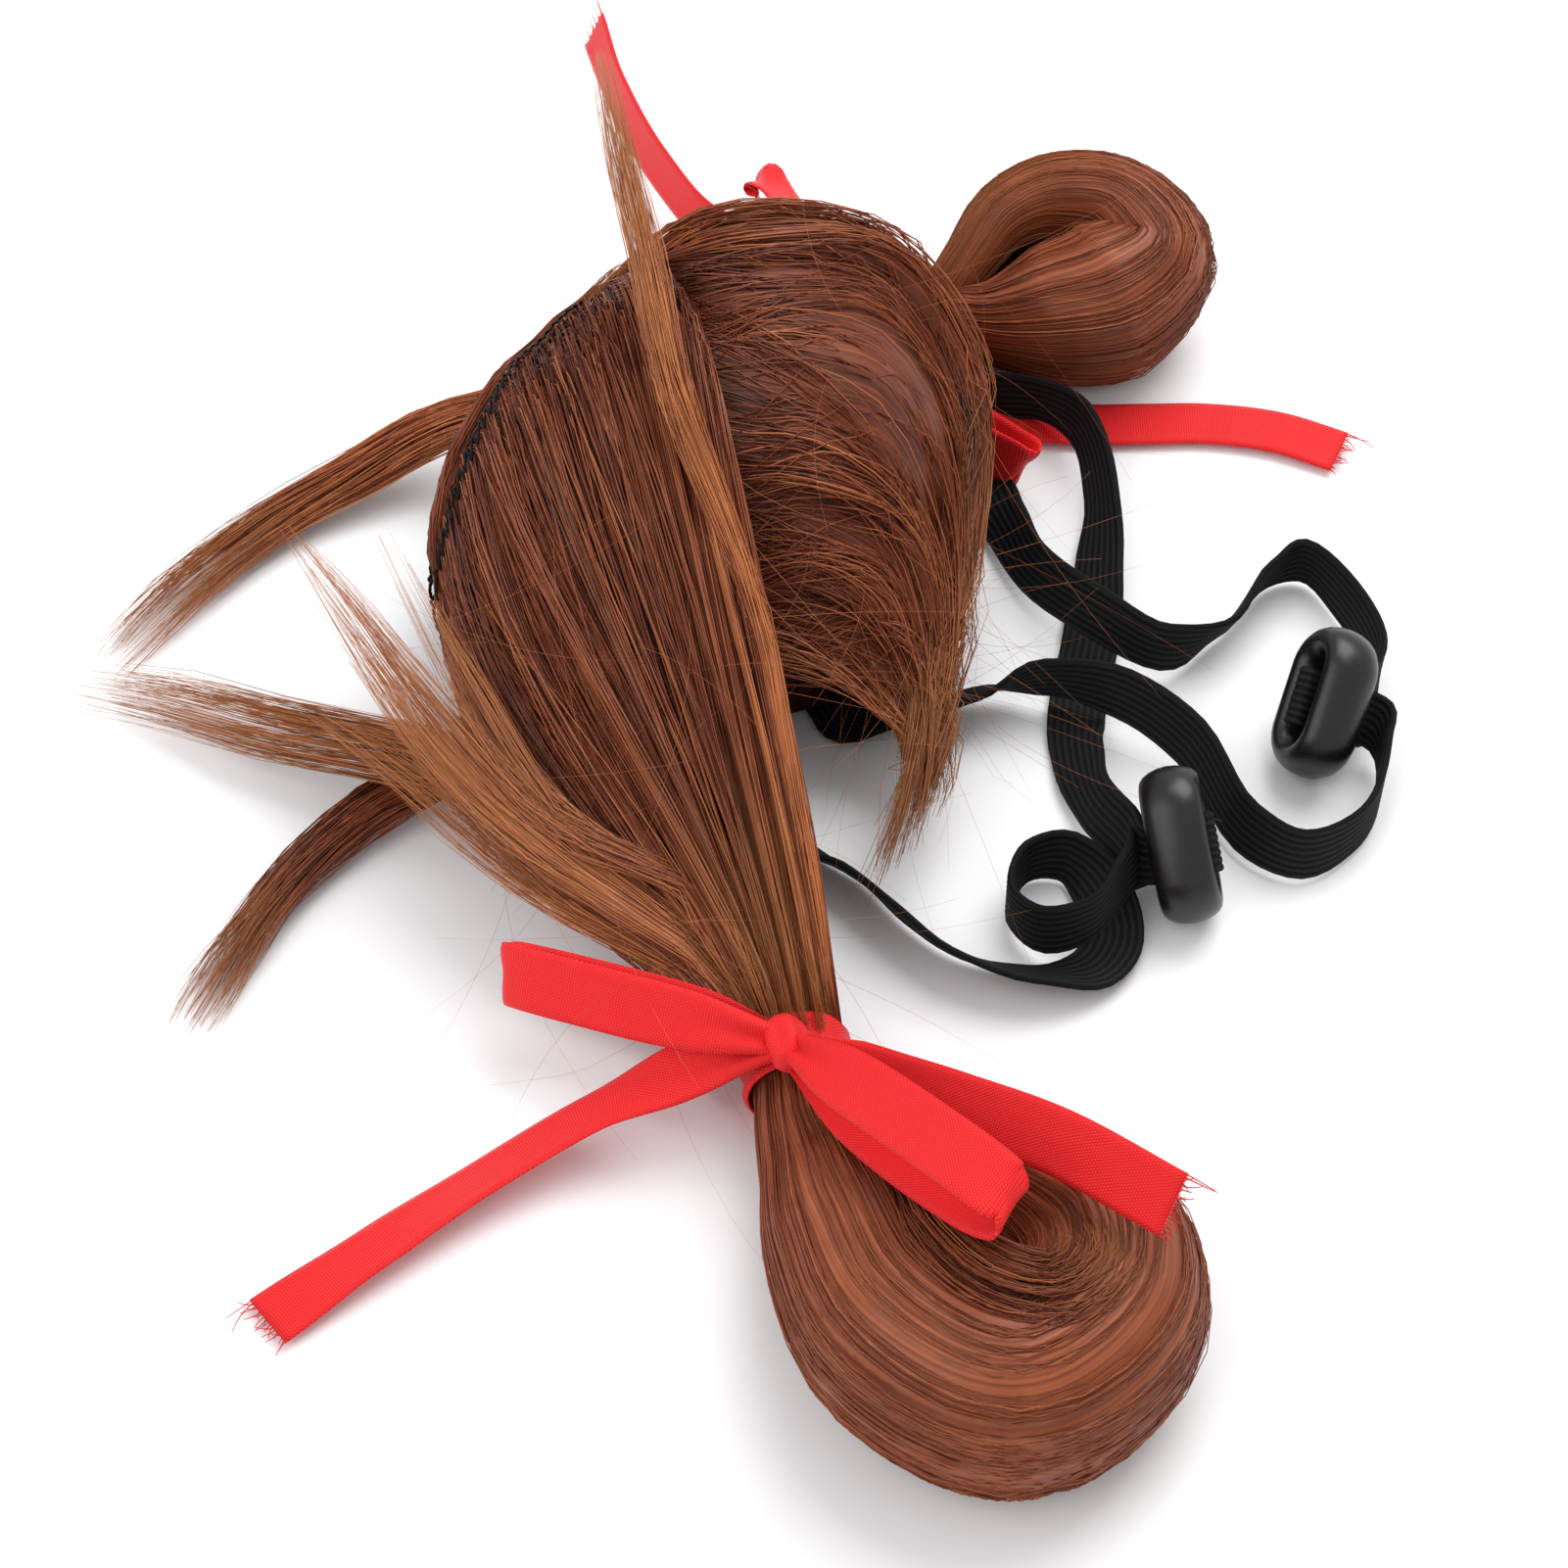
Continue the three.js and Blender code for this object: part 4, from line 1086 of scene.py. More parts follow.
    def add_striped_core(
        self, buffer: MeshBuffer, outer: np.ndarray, inner: np.ndarray, edge: float
    ) -> None:
        """Adds a core whose fine stripes and steps look like hair packed under the strands.

        Args:
            buffer: The piece's mesh.
            outer: The core's outer face as column, place and axis.
            inner: Its inner face.
            edge: The share of the sheet's width that is left bare on each side.
        """
        rng = np.random.default_rng(self.seed + 500)
        n, steps = outer.shape[:2]
        place = np.linspace(0, n - 1, self.core_lines)
        i = np.minimum(place.astype(int), n - 2)
        f = (place - i)[:, None, None]
        outer, inner = (face[i] * (1 - f) + face[i + 1] * f for face in (outer, inner))
        u = edge + (1 - 2 * edge) * place / (n - 1)
        step = np.mod(u * self.shingles, 1) if self.shingles else np.full_like(u, 0.5)
        t = np.linspace(0, self.core_reach, steps)
        fine = rng.normal(0, 1, self.core_lines)
        broad = sum(np.sin(k * 2 * math.pi * u + rng.uniform(0, 6.3)) for k in (3, 7, 12, 19, 31)) / 2.2
        rise = self.shingle_mm * 0.7 * (step - 0.5) + 0.06 * fine + 0.1 * broad
        shift = unit(outer - inner) * (rise[:, None] * ease(0.02, 0.3, t)[None])[..., None]
        # Painted light and shade: the core is darker than the strands over it, darker just under each tier
        # above and lighter at each tier's raised edge.
        tone = self.tone - 0.1 + 0.09 * fine + 0.04 * broad + 0.16 * (step - 0.5)
        uv = grain((self.core_lines, steps), np.clip(tone, CORE_DARKEST, 1)[:, None], 0.05 + 0.6 * t)
        outer, inner = outer + shift, inner + shift
        off_cap(outer, CORE_CLEAR)
        off_cap(inner, CORE_UNDER_CLEAR)
        buffer.add_slab(outer, inner, uv)

    def waves(
        self,
        rng: np.random.Generator,
        mine: np.ndarray,
        t: np.ndarray,
        aside: np.ndarray,
        above: np.ndarray,
        height: np.ndarray,
    ) -> np.ndarray:
        """How each lock and strand strays from its guide between its held ends.

        Args:
            rng: The sheet's own random numbers.
            mine: Each strand's lock.
            t: Places along the guides.
            aside: Ways across the sheet.
            above: Ways out of the sheet.
            height: How high each strand's lock lies, about -1 to 1.

        Returns:
            Shifts in millimetres.
        """
        count = len(mine)
        phase, pace = rng.random(self.locks)[mine], rng.uniform(0.5, 1.3, self.locks)[mine]
        own_phase, own_pace = rng.random(count), rng.uniform(0.6, 2.0, count)
        lock = np.sin(2 * math.pi * (pace[:, None] * t + phase[:, None]))
        own = np.sin(2 * math.pi * (own_pace[:, None] * t + own_phase[:, None]))
        over = self.lift_mm * (0.3 + 0.7 * height + 0.4 * lock + 0.25 * own)
        across = self.sway_mm * (0.7 * lock + 0.5 * own)
        held = np.sin(math.pi * np.clip(t, 0, 1)) ** 0.7
        return (aside * across[..., None] + above * over[..., None]) * held[..., None]


@dataclass
class CombedSide(HairSheet):
    """Hair combed flat from roots on the cap into the neck at a tie."""

    roots: tuple[Root, ...] = NEAR_ROOTS
    tie: Tie = NEAR_TIE
    ridges: int = 8
    rows: int = 12
    columns: int = 33
    places_along: int = 30
    thick: float = HAIR_THICK
    # Where the first guide meets the neck, as a share of a half turn, and the share to the last one.
    arc: tuple[float, float] = (0.92, 0.84)
    ridge_share: float = 0.25
    # How far the roots are tucked out and down over the cap's rim.
    tuck_mm: tuple[float, float] = (3.5, 4.5)

    def taut(
        self, root: np.ndarray, end: np.ndarray, clear: float, bulge: float, t: np.ndarray
    ) -> np.ndarray:
        """A line drawn tight over the cap.

        Args:
            root: Where it starts.
            end: Where it is held.
            clear: How far it stays off the cap.
            bulge: How far it bows out in plan.
            t: Places along it.

        Returns:
            Points of the line.
        """
        length = math.hypot(end[0] - root[0], end[1] - root[1])

        def plan(s: np.ndarray) -> tuple[np.ndarray, np.ndarray]:
            """The line in plan."""
            off = bulge * np.sin(math.pi * s**0.7) / length
            x = root[0] + (end[0] - root[0]) * s + (end[1] - root[1]) * off
            y = root[1] + (end[1] - root[1]) * s - (end[0] - root[0]) * off
            return x, y

        s = np.linspace(0, 1, 49)
        z = CAP.top(*plan(s)) + clear
        z[0], z[-1] = root[2], end[2]
        hull: list[int] = []
        for i in range(len(s)):
            while len(hull) > 1:
                a, b = hull[-2:]
                if (z[b] - z[a]) * (s[i] - s[a]) > (z[i] - z[a]) * (s[b] - s[a]):
                    break
                hull.pop()
            hull.append(i)
        x, y = plan(t)
        return np.stack([x, y, np.interp(t, s[hull], z[hull])], -1)

    def guides(self) -> np.ndarray:
        """Guide lines over the cap and into the neck."""
        along = aim(self.tie.heading, 0)
        side = np.cross(along, UP)
        entry = np.array([self.tie.x, self.tie.y, self.tie.z]) - along * NECK_LENGTH
        bend = 1 - 1 / self.rows
        v = np.linspace(0, 1, self.places_along)
        grid = np.zeros((2, self.columns, self.places_along, 3))
        flat = np.array([(r.x, r.y, 0) for r in self.roots], float)
        for c, u in enumerate(np.linspace(0, 1, self.columns)):
            at = np.array([u])
            start = spline(flat, at)[0]
            bulge = float(column(self.roots, "bulge", at)[0])
            angle = math.pi * (self.arc[0] - self.arc[1] * u)
            ridge = self.thick * (1 + self.ridge_share * abs(math.sin(math.pi * self.ridges * u)))
            for layer, (over, thick) in enumerate(((-1, 0.0), (1, ridge))):
                end = entry - side * math.cos(angle) * self.tie.radius
                end = end + UP * over * math.sin(angle) * self.tie.radius
                base = float(CAP.top(start[:1], start[1:2])[0])
                root = np.array([start[0], start[1], base + HAIR_CLEAR + thick * ROOT_SHARE])
                line = self.taut(root, end, HAIR_CLEAR + thick, bulge, np.clip(v / bend, 0, 1))
                neck = along[None] * (np.clip(v - bend, 0, 1) / (1 - bend) * NECK_LENGTH)[:, None]
                out = unit(line[0] - np.array([CROWN[0], CROWN[1], line[0][2]]))
                line[0] += out * self.tuck_mm[0] - UP * self.tuck_mm[1]
                grid[layer, c] = line + neck
        return grid


@dataclass
class SweptFringe(HairSheet):
    """Layered hair swept forward from the parting, with a curled end lock."""

    columns: int = 41
    places_along: int = 40
    # The share of the full thickness at the roots, and how much of it is gone at the tips.
    thinning: tuple[float, float] = (0.9, 0.6)
    proud_mm: float = 0.6

    def guides(self) -> np.ndarray:
        """Guide lines through the fringe's rows, and their inner face."""
        v = np.linspace(0, 1, self.places_along)
        lines = np.stack([spline(np.array(row, float), v) for row in FRINGE_ROWS])
        across = np.linspace(0, 1, self.columns) * (len(FRINGE_ROWS) - 1)
        outer = np.zeros((self.columns, self.places_along, 3))
        for k in range(self.places_along):
            outer[:, k] = spline_even(lines[:, k], across)
        normal = unit(np.cross(np.gradient(outer, axis=0), np.gradient(outer, axis=1)))
        thick = HAIR_THICK * (self.thinning[0] - self.thinning[1] * v**2)
        return np.stack([outer - normal * thick[None, :, None], outer + normal * self.proud_mm])

    def ends(self, rng: np.random.Generator, depth: np.ndarray) -> tuple[np.ndarray, np.ndarray]:
        """Ragged ends, with about a third of the strands cut shorter.

        Args:
            rng: The fringe's own random numbers.
            depth: Each strand's depth.

        Returns:
            Starts and ends, 0 to 1.
        """
        short = rng.random(len(depth)) < 0.35
        end = np.where(short, rng.uniform(0.62, 0.9, len(depth)), rng.uniform(0.88, 1.0, len(depth)))
        return 0.04 * rng.random(len(depth)), end

    def waves(
        self,
        rng: np.random.Generator,
        mine: np.ndarray,
        t: np.ndarray,
        aside: np.ndarray,
        above: np.ndarray,
        height: np.ndarray,
    ) -> np.ndarray:
        """Waves that each lock of the fringe shares, where only the roots are held.

        Args:
            rng: The fringe's own random numbers.
            mine: Each strand's lock.
            t: Places along the guides.
            aside: Ways across the sheet.
            above: Ways out of the sheet.
            height: How high each strand's lock lies, about -1 to 1.

        Returns:
            Shifts in millimetres.
        """
        count = len(mine)
        phase = rng.random(self.locks)[mine][:, None]
        pace = rng.uniform(0.5, 1.0, self.locks)[mine][:, None]
        lock = np.sin(2 * math.pi * (pace * t + phase))
        own_pace = rng.uniform(0.6, 1.8, count)[:, None]
        own = np.sin(2 * math.pi * (own_pace * t + rng.random(count)[:, None]))
        held = ease(0.0, 0.25, t)
        over = self.lift_mm * (height - 0.5 + 0.5 * lock) * held + 0.25 * own * held
        across = self.sway_mm * (0.8 * lock + 0.35 * own) * held
        return aside * across[..., None] + above * over[..., None]


def spline_even(rows: np.ndarray, place: np.ndarray) -> np.ndarray:
    """A smooth blend across rows at even steps.

    Args:
        rows: Points, one a row.
        place: Places counted in rows.

    Returns:
        One point for each place.
    """
    last = len(rows) - 1
    i = np.minimum(place.astype(int), last - 1)
    f = (place - i)[:, None]
    a, b, c, d = (rows[np.clip(i + k, 0, last)] for k in (-1, 0, 1, 2))
    m0, m1 = (c - a) / 2, (d - b) / 2
    return hermite(b, m0, c, m1, f)


LOCK_STRANDS = 30
# The roll along the back rim: its lift and its half width and height, in millimetres.
RIM_LIFT, RIM_WIDE, RIM_TALL = 0.4, 1.7, 1.1


@dataclass
class HairLock:
    """Hair gathered in an oval lock along a route.

    Shell is the inner share of the section that holds no strands, splay_mm how far they part at the tip,
    ragged the share of the length by which they differ, and core the core's share of the section.
    """

    node: str
    rows: tuple[Section, ...]
    strands: int
    steps: int
    seed: int
    up: tuple[float, float, float] = (0.0, 0.0, 1.0)
    shell: float = 0.0
    splay_mm: float = 3.0
    twist: float = 0.0
    ragged: float = 0.25
    thick_mm: float = 0.14
    sway_mm: float = 0.8
    tone: float = 0.45
    core: float = 0.55
    even: float = 0.6
    core_rings: int = 30
    core_sides: int = 24
    closed_loop: bool = False

    def sections(self, t: np.ndarray) -> tuple[np.ndarray, np.ndarray, np.ndarray, np.ndarray, np.ndarray]:
        """The route's middle, its two ways across and its half sizes.

        Args:
            t: Places along the route.

        Returns:
            Middles, sideways ways, upward ways, half widths and half heights.
        """
        fine = np.linspace(0, 1, 200)
        line = spline(places(self.rows), fine)
        ahead = ways(line)
        side = unit(np.cross(ahead, np.array(self.up)))
        over = np.cross(side, ahead)

        def at(values: np.ndarray) -> np.ndarray:
            """Fine values at the asked places."""
            return np.stack([np.interp(t, fine, values[:, k]) for k in range(3)], -1)

        return at(line), at(side), at(over), column(self.rows, "wide", t), column(self.rows, "tall", t)

    def build(self, material: bpy.types.Material) -> bpy.types.Object:
        """Makes the lock's core and strands.

        Args:
            material: The hair's finish.

        Returns:
            The finished piece.
        """
        rng = np.random.default_rng(self.seed)
        buffer = MeshBuffer()
        if self.core:
            self.add_core(buffer)
        n = self.strands
        locks = max(6, n // LOCK_STRANDS)
        mine = rng.integers(locks, size=n)
        loose = rng.random(n) < self.even
        angle = np.where(loose, rng.random(n), rng.random(locks)[mine]) * 2 * math.pi
        angle = angle + rng.normal(0, 0.1, n)
        share = np.sqrt(rng.uniform(self.shell**2, 1.06, n))
        end = 1 - self.ragged * rng.random(n)
        t = strand_steps(rng, n, self.steps) * end[:, None]
        middle, side, over, wide, tall = self.sections(t)
        spread = self.splay_mm * ease(0.55, 1.0, t) * (0.4 + rng.random(n)[:, None])
        turn = angle[:, None] + self.twist * t
        w = (wide * share[:, None] + spread)[..., None]
        h = (tall * share[:, None] + 0.4 * spread)[..., None]
        paths = middle + side * np.cos(turn)[..., None] * w + over * np.sin(turn)[..., None] * h
        phase, pace = rng.random(n)[:, None], rng.uniform(0.5, 1.6, n)[:, None]
        shared = np.sin(2 * math.pi * (1.1 * t + rng.random(locks)[mine][:, None]))
        own = np.sin(2 * math.pi * (pace * t + phase))
        sway = self.sway_mm * (0.6 * shared + 0.4 * own) * ease(0, 0.2, t)
        if self.closed_loop:
            sway = sway * ease(0, 0.2, 1 - t)
        paths = paths + side * sway[..., None] + over * 0.5 * sway[..., None]
        raise_to(paths, TABLE_CLEAR)
        spread_of_tone = 0.08 if self.closed_loop else 0.13
        shade = rng.normal(0, spread_of_tone, locks)[mine] + rng.normal(0, spread_of_tone, n)
        tone = np.clip(self.tone + shade, DARKEST, 1)
        taper = np.interp(np.linspace(0, 1, self.steps), [0, 0.1, 0.6, 1], [0.7, 1, 0.9, 0.2])
        buffer.add_strands(paths, self.thick_mm * rng.uniform(0.7, 1.2, n), taper, tone)
        nodes = (self.node,) if self.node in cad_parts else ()
        return buffer.build(f"{self.node}_strands", material, nodes, Slot.HAIR)

    def add_core(self, buffer: MeshBuffer) -> None:
        """Adds the core: striped like packed hair in a closed loop, otherwise plain dark painted shade.

        Args:
            buffer: The piece's mesh.
        """
        rng = np.random.default_rng(self.seed + 500)
        rings, sides = self.core_rings, self.core_sides
        t = np.linspace(0, 1 if self.closed_loop else 0.6, rings)
        middle, side, over, wide, tall = self.sections(t)
        fine = rng.normal(0, 1, sides)
        wave = np.arange(sides) / sides * 2 * math.pi
        broad = sum(np.sin(k * wave + rng.uniform(0, 6.3)) for k in (3, 5, 8, 13, 21)) / 2.2
        turn = (wave[None] + self.twist * t[:, None])[..., None]
        across, up = (side * wide[:, None])[:, None], (over * tall[:, None])[:, None]
        shape = np.cos(turn) * across - np.sin(turn) * up
        points = middle[:, None] + shape * self.core * (1 + 0.004 * fine + 0.006 * broad)[None, :, None]
        raise_to(points, 3 * TABLE_CLEAR)
        silky = np.clip(self.tone - 0.04 + 0.09 * fine + 0.035 * broad, CORE_DARKEST, 1)
        # A plain core takes a dark tone as painted shade under the strands.
        buffer.add_rings(points, grain((rings, sides), silky if self.closed_loop else 0.05, 0.2))


def lead_rows(
    grid: np.ndarray, u: float, start: float, end: float, wide: float, lift: float
) -> tuple[Section, ...]:
    """Sections that take a loose lock from the tie along the combed side to its own root.

    Args:
        grid: The combed side's guides.
        u: The place across the side.
        start: The place along the guide by the tie.
        end: The place along the guide by the lock's root.
        wide: Half the lead's width.
        lift: How far above the side it lies.

    Returns:
        The sections in order.
    """
    t = np.linspace(start, end, 5)[None]
    points = pick_grid(grid, np.ones(1), np.full_like(t, u), t)[0] + UP * lift
    return tuple(Section(*p, wide * share, 0.9) for p, share in zip(points, (0.5, 0.7, 0.85, 1, 1)))


def rim_rows(grid: np.ndarray, first: int, last: int, place: int) -> tuple[Section, ...]:
    """Sections of the roll of hair along the back rim, where the combed hair starts.

    Args:
        grid: The combed side's guides.
        first: The first guide.
        last: The last guide.
        place: The place along each guide.

    Returns:
        The sections in order.
    """
    points = grid[1, first:last:2, place] + UP * RIM_LIFT
    return tuple(Section(*p, RIM_WIDE, RIM_TALL) for p in points)


@dataclass
class HemStitches:
    """Dark zigzag thread that holds the hair along the back rim."""

    name: str = "hem_stitches"
    columns: tuple[int, int] = (3, 15)
    stitches: int = 52
    thread_mm: float = 0.3
    lift_mm: float = 0.9
    arch_mm: float = 0.3
    from_rim: float = 0.075
    zigzag: float = 0.03

    def build(self, grid: np.ndarray, material: bpy.types.Material) -> bpy.types.Object:
        """Lays the stitches over the combed hair.

        Args:
            grid: The combed side's guides.
            material: The thread's finish.

        Returns:
            The finished piece.
        """
        last = grid.shape[1] - 1
        u = np.linspace(*self.columns, self.stitches + 1) / last
        s = np.linspace(0, 1, 6)[None]
        odd = (np.arange(self.stitches) % 2)[:, None]
        across = u[:-1, None] + (u[1:] - u[:-1])[:, None] * s
        along = self.from_rim + self.zigzag * np.where(odd, s, 1 - s)
        paths = pick_grid(grid, np.ones(self.stitches), across, along)
        paths = paths + UP * (self.lift_mm + self.arch_mm * np.sin(math.pi * s))[..., None]
        buffer = MeshBuffer()
        thick, tone = np.full(self.stitches, self.thread_mm), np.zeros(self.stitches)
        buffer.add_strands(paths, thick, np.ones(6), tone)
        return buffer.build(self.name, material, (), Slot.CAP)


LOCK_ROWS = {
    "nape_lock_far": row_table(
        Section,
        (-44.8, 74.2, 18.8, 5, 3), (-64, 74, 11, 5.5, 3), (-78, 68, 6, 5, 3), (-92, 58, 4, 4.5, 2.8),
        (-106, 43, 3, 3.5, 2), (-118, 25, 1.6, 0.9, 0.8),
    ),
    "nape_lock_mid": row_table(
        Section,
        (-47, -12, 12.6, 5, 2.6), (-57, -5, 11.4, 6, 2.8), (-70, 0, 10, 5.5, 2.6), (-88, 7, 7, 4.5, 2.4),
        (-106, 16, 4, 3, 2), (-122, 21, 1.8, 0.9, 0.8),
    ),
    "nape_lock_near": row_table(
        Section,
        (-57, -3, 6.2, 4, 2.2), (-69, -9, 4.4, 4.5, 2.4), (-81, -22, 3.2, 4, 2.4),
        (-89, -37, 2.6, 2.8, 2), (-96, -53, 1.4, 0.9, 0.8),
    ),
    "crown_lock": row_table(
        Section,
        (-17.6, 28, 64.5, 2.6, 1.5), (-21.6, 47, 74.4, 2.4, 1.5), (-27, 72, 77, 1.9, 1.3),
        (-32.5, 109, 70.5, 0.5, 0.5),
    ),
    "side_wisp": row_table(
        Section,
        (-40, -31, 24.6, 5.5, 1.2), (-57, -12, 30, 5.5, 1.2), (-71, 9, 33, 3.5, 1.2),
        (-84, 28, 34, 0.8, 0.8),
    ),
    "tail_curl": row_table(
        Section,
        (18, -98, 26, 2.5, 1.2), (22, -109, 30, 5, 2.2), (30, -118, 31.5, 6, 2.4),
        (39, -120, 31.5, 6, 2.4), (45.5, -114, 30.5, 5, 2.2), (44, -105, 27, 2.5, 1.2),
    ),
    # A lock inside the far pigtail's loop, painted nearly black: painted shade seen through the loop's
    # slit.
    "tail_far_inner": row_table(
        Section,
        (29, 112, 5.5, 4, 3), (37, 119, 6.5, 7, 4), (46, 123, 8, 7, 4.5), (60, 122, 11, 6, 4.5),
        (66, 119, 12, 4, 3),
    ),
    "side_fan": row_table(
        Section,
        (-36, -37, 20.5, 5, 1.2), (-48, -22, 22.5, 6, 1.2), (-60, -6, 24, 4, 1.2),
        (-75, 14, 25, 0.6, 0.6),
    ),
    "side_fan_low": row_table(
        Section,
        (-37, -38, 19.5, 5, 1.2), (-51, -25, 20.5, 6, 1.2), (-65, -12, 21, 4, 1.2),
        (-80, 0, 20, 0.6, 0.6),
    ),
    "side_fan_high": row_table(
        Section,
        (-36, -30, 25, 4, 1), (-50, -8, 30, 4, 1), (-60, 12, 33, 2.4, 1), (-70, 34, 34, 0.5, 0.5),
    ),
}


@dataclass(frozen=True)
class LockPlan:
    """How a loose lock is made: strands, tone, splay, core, ragged end and lead along the near side."""

    strands: int
    tone: float = 0.46
    splay_mm: float = 3.0
    core: float = 0.4
    ragged: float = 0.42
    lead: tuple[float, ...] = ()


LOCK_STEPS, LOCK_SEED = 11, 31
LOCK_PLANS = {
    "nape_lock_far": LockPlan(420, 0.68),
    "nape_lock_mid": LockPlan(540, lead=(0.0, 0.95, 0.66, 4, 0.2)),
    "nape_lock_near": LockPlan(380),
    "crown_lock": LockPlan(210, 0.92, 0.7, 0, 0.15, (0.93, 0.95, 0.42, 1.8, 0.9)),
    "side_wisp": LockPlan(300, 0.7, 0.7, 0, 0.42, (0.16, 0.95, 0.8, 3, 0.8)),
    "tail_curl": LockPlan(180, core=0, ragged=0.15),
    # Its tone of 0.05 is painted shade inside the far loop.
    "tail_far_inner": LockPlan(120, 0.05, core=0.85, ragged=0.15),
    "side_fan": LockPlan(150, 0.7, 0.7, 0, 0.42, (0.08, 0.95, 0.78, 3, 0.6)),
    "side_fan_low": LockPlan(130, 0.7, 0.7, 0, 0.42, (0.03, 0.95, 0.78, 3, 0.5)),
    "side_fan_high": LockPlan(90, 0.7, 0.7, 0, 0.42, (0.24, 0.95, 0.74, 2.4, 0.8)),
}


@dataclass
class FlatBand:
    """A length of narrow cloth along rows, with its own section.

    Pinch is the share of the width that is left at either end, and nip the share lost at the middle.
    """

    rows: tuple[Turn, ...]
    wide: float
    profile: np.ndarray
    per_row: int = 6
    pinch: tuple[float, float] = (1.0, 1.0)
    pinch_reach: float = 0.3
    nip: float = 0.0

    def line(self) -> tuple[np.ndarray, np.ndarray, np.ndarray]:
        """The band's middle, its ways across and its face's ways out.

        Returns:
            Points, ways across and ways out of the face.
        """
        n = (len(self.rows) - 1) * self.per_row + 1
        t = np.linspace(0, 1, n)
        middle = spline(places(self.rows), t)
        aims = np.array([aim(r.heading, r.tilt) for r in self.rows])
        place = t * (len(self.rows) - 1)
        i = np.minimum(place.astype(int), len(self.rows) - 2)
        f = ease(0, 1, place - i)[:, None]
        across = aims[i] * (1 - f) + aims[i + 1] * f
        ahead = ways(middle)
        across = unit(across - ahead * np.sum(across * ahead, -1, keepdims=True))
        return middle, across, np.cross(ahead, across)

    def length(self) -> float:
        """The band's length in millimetres."""
        middle = self.line()[0]
        return float(np.linalg.norm(np.diff(middle, axis=0), axis=1).sum())

    def add_to(self, buffer: MeshBuffer) -> None:
        """Adds the band's solid to a piece.

        Args:
            buffer: The piece's mesh.
        """
        middle, across, out = self.line()
        t = np.linspace(0, 1, len(middle))
        first, last = self.pinch
        near_knot = (1 - first) * (1 - ease(0, self.pinch_reach, t))
        near_end = (1 - last) * ease(1 - self.pinch_reach, 1, t)
        share = 1 - near_knot - near_end
        share = share * (1 - self.nip * np.exp(-(((t - 0.5) / 0.05) ** 2)))
        x = share[:, None] * self.profile[None, :, 0]
        folds = np.cos(3.4 * math.pi * self.profile[None, :, 0] / self.wide)
        crease = 1.5 * (1 - share)[:, None] * folds
        y = self.profile[None, :, 1] + crease
        rings = middle[:, None] + across[:, None] * x[..., None] + out[:, None] * y[..., None]
        run = np.concatenate([[0], np.cumsum(np.linalg.norm(np.diff(middle, axis=0), axis=1))])
        raise_to(rings, TABLE_TOUCH)
        uv = grain(rings.shape[:2], self.profile[:, 0] / self.wide, run[:, None] / self.wide)
        buffer.add_rings(rings, uv)


def ribbed_profile(wide: float, thick: float, ribs: int) -> np.ndarray:
    """A flat section with round ribs on both faces.

    Args:
        wide: Its width.
        thick: Its thickness at the ribs.
        ribs: How many ribs lie side by side.

    Returns:
        Points round the section, as across and out.
    """
    x = np.linspace(-wide / 2, wide / 2, ribs * 4 + 1)
    swell = 0.65 + 0.35 * np.abs(np.sin(math.pi * (x / wide + 0.5) * ribs))
    swell[[0, -1]] = 0.35
    top = np.stack([x, swell * thick / 2], -1)
    under = np.stack([x, -swell * thick / 2], -1)
    return np.vstack([under, top[::-1]])


def ribbon_profile(wide: float, thick: float) -> np.ndarray:
    """A thin flat section with a small bead along each edge.

    Args:
        wide: Its width.
        thick: Its thickness.

    Returns:
        Points round the section, as across and out.
    """
    x = np.linspace(-wide / 2, wide / 2, 11)
    half = np.full(11, thick * 0.36)
    half[[1, -2]] = thick * 0.5
    half[[0, -1]] = thick * 0.25
    under = np.stack([x, -half], -1)
    return np.vstack([under, np.stack([x, half], -1)[::-1]])


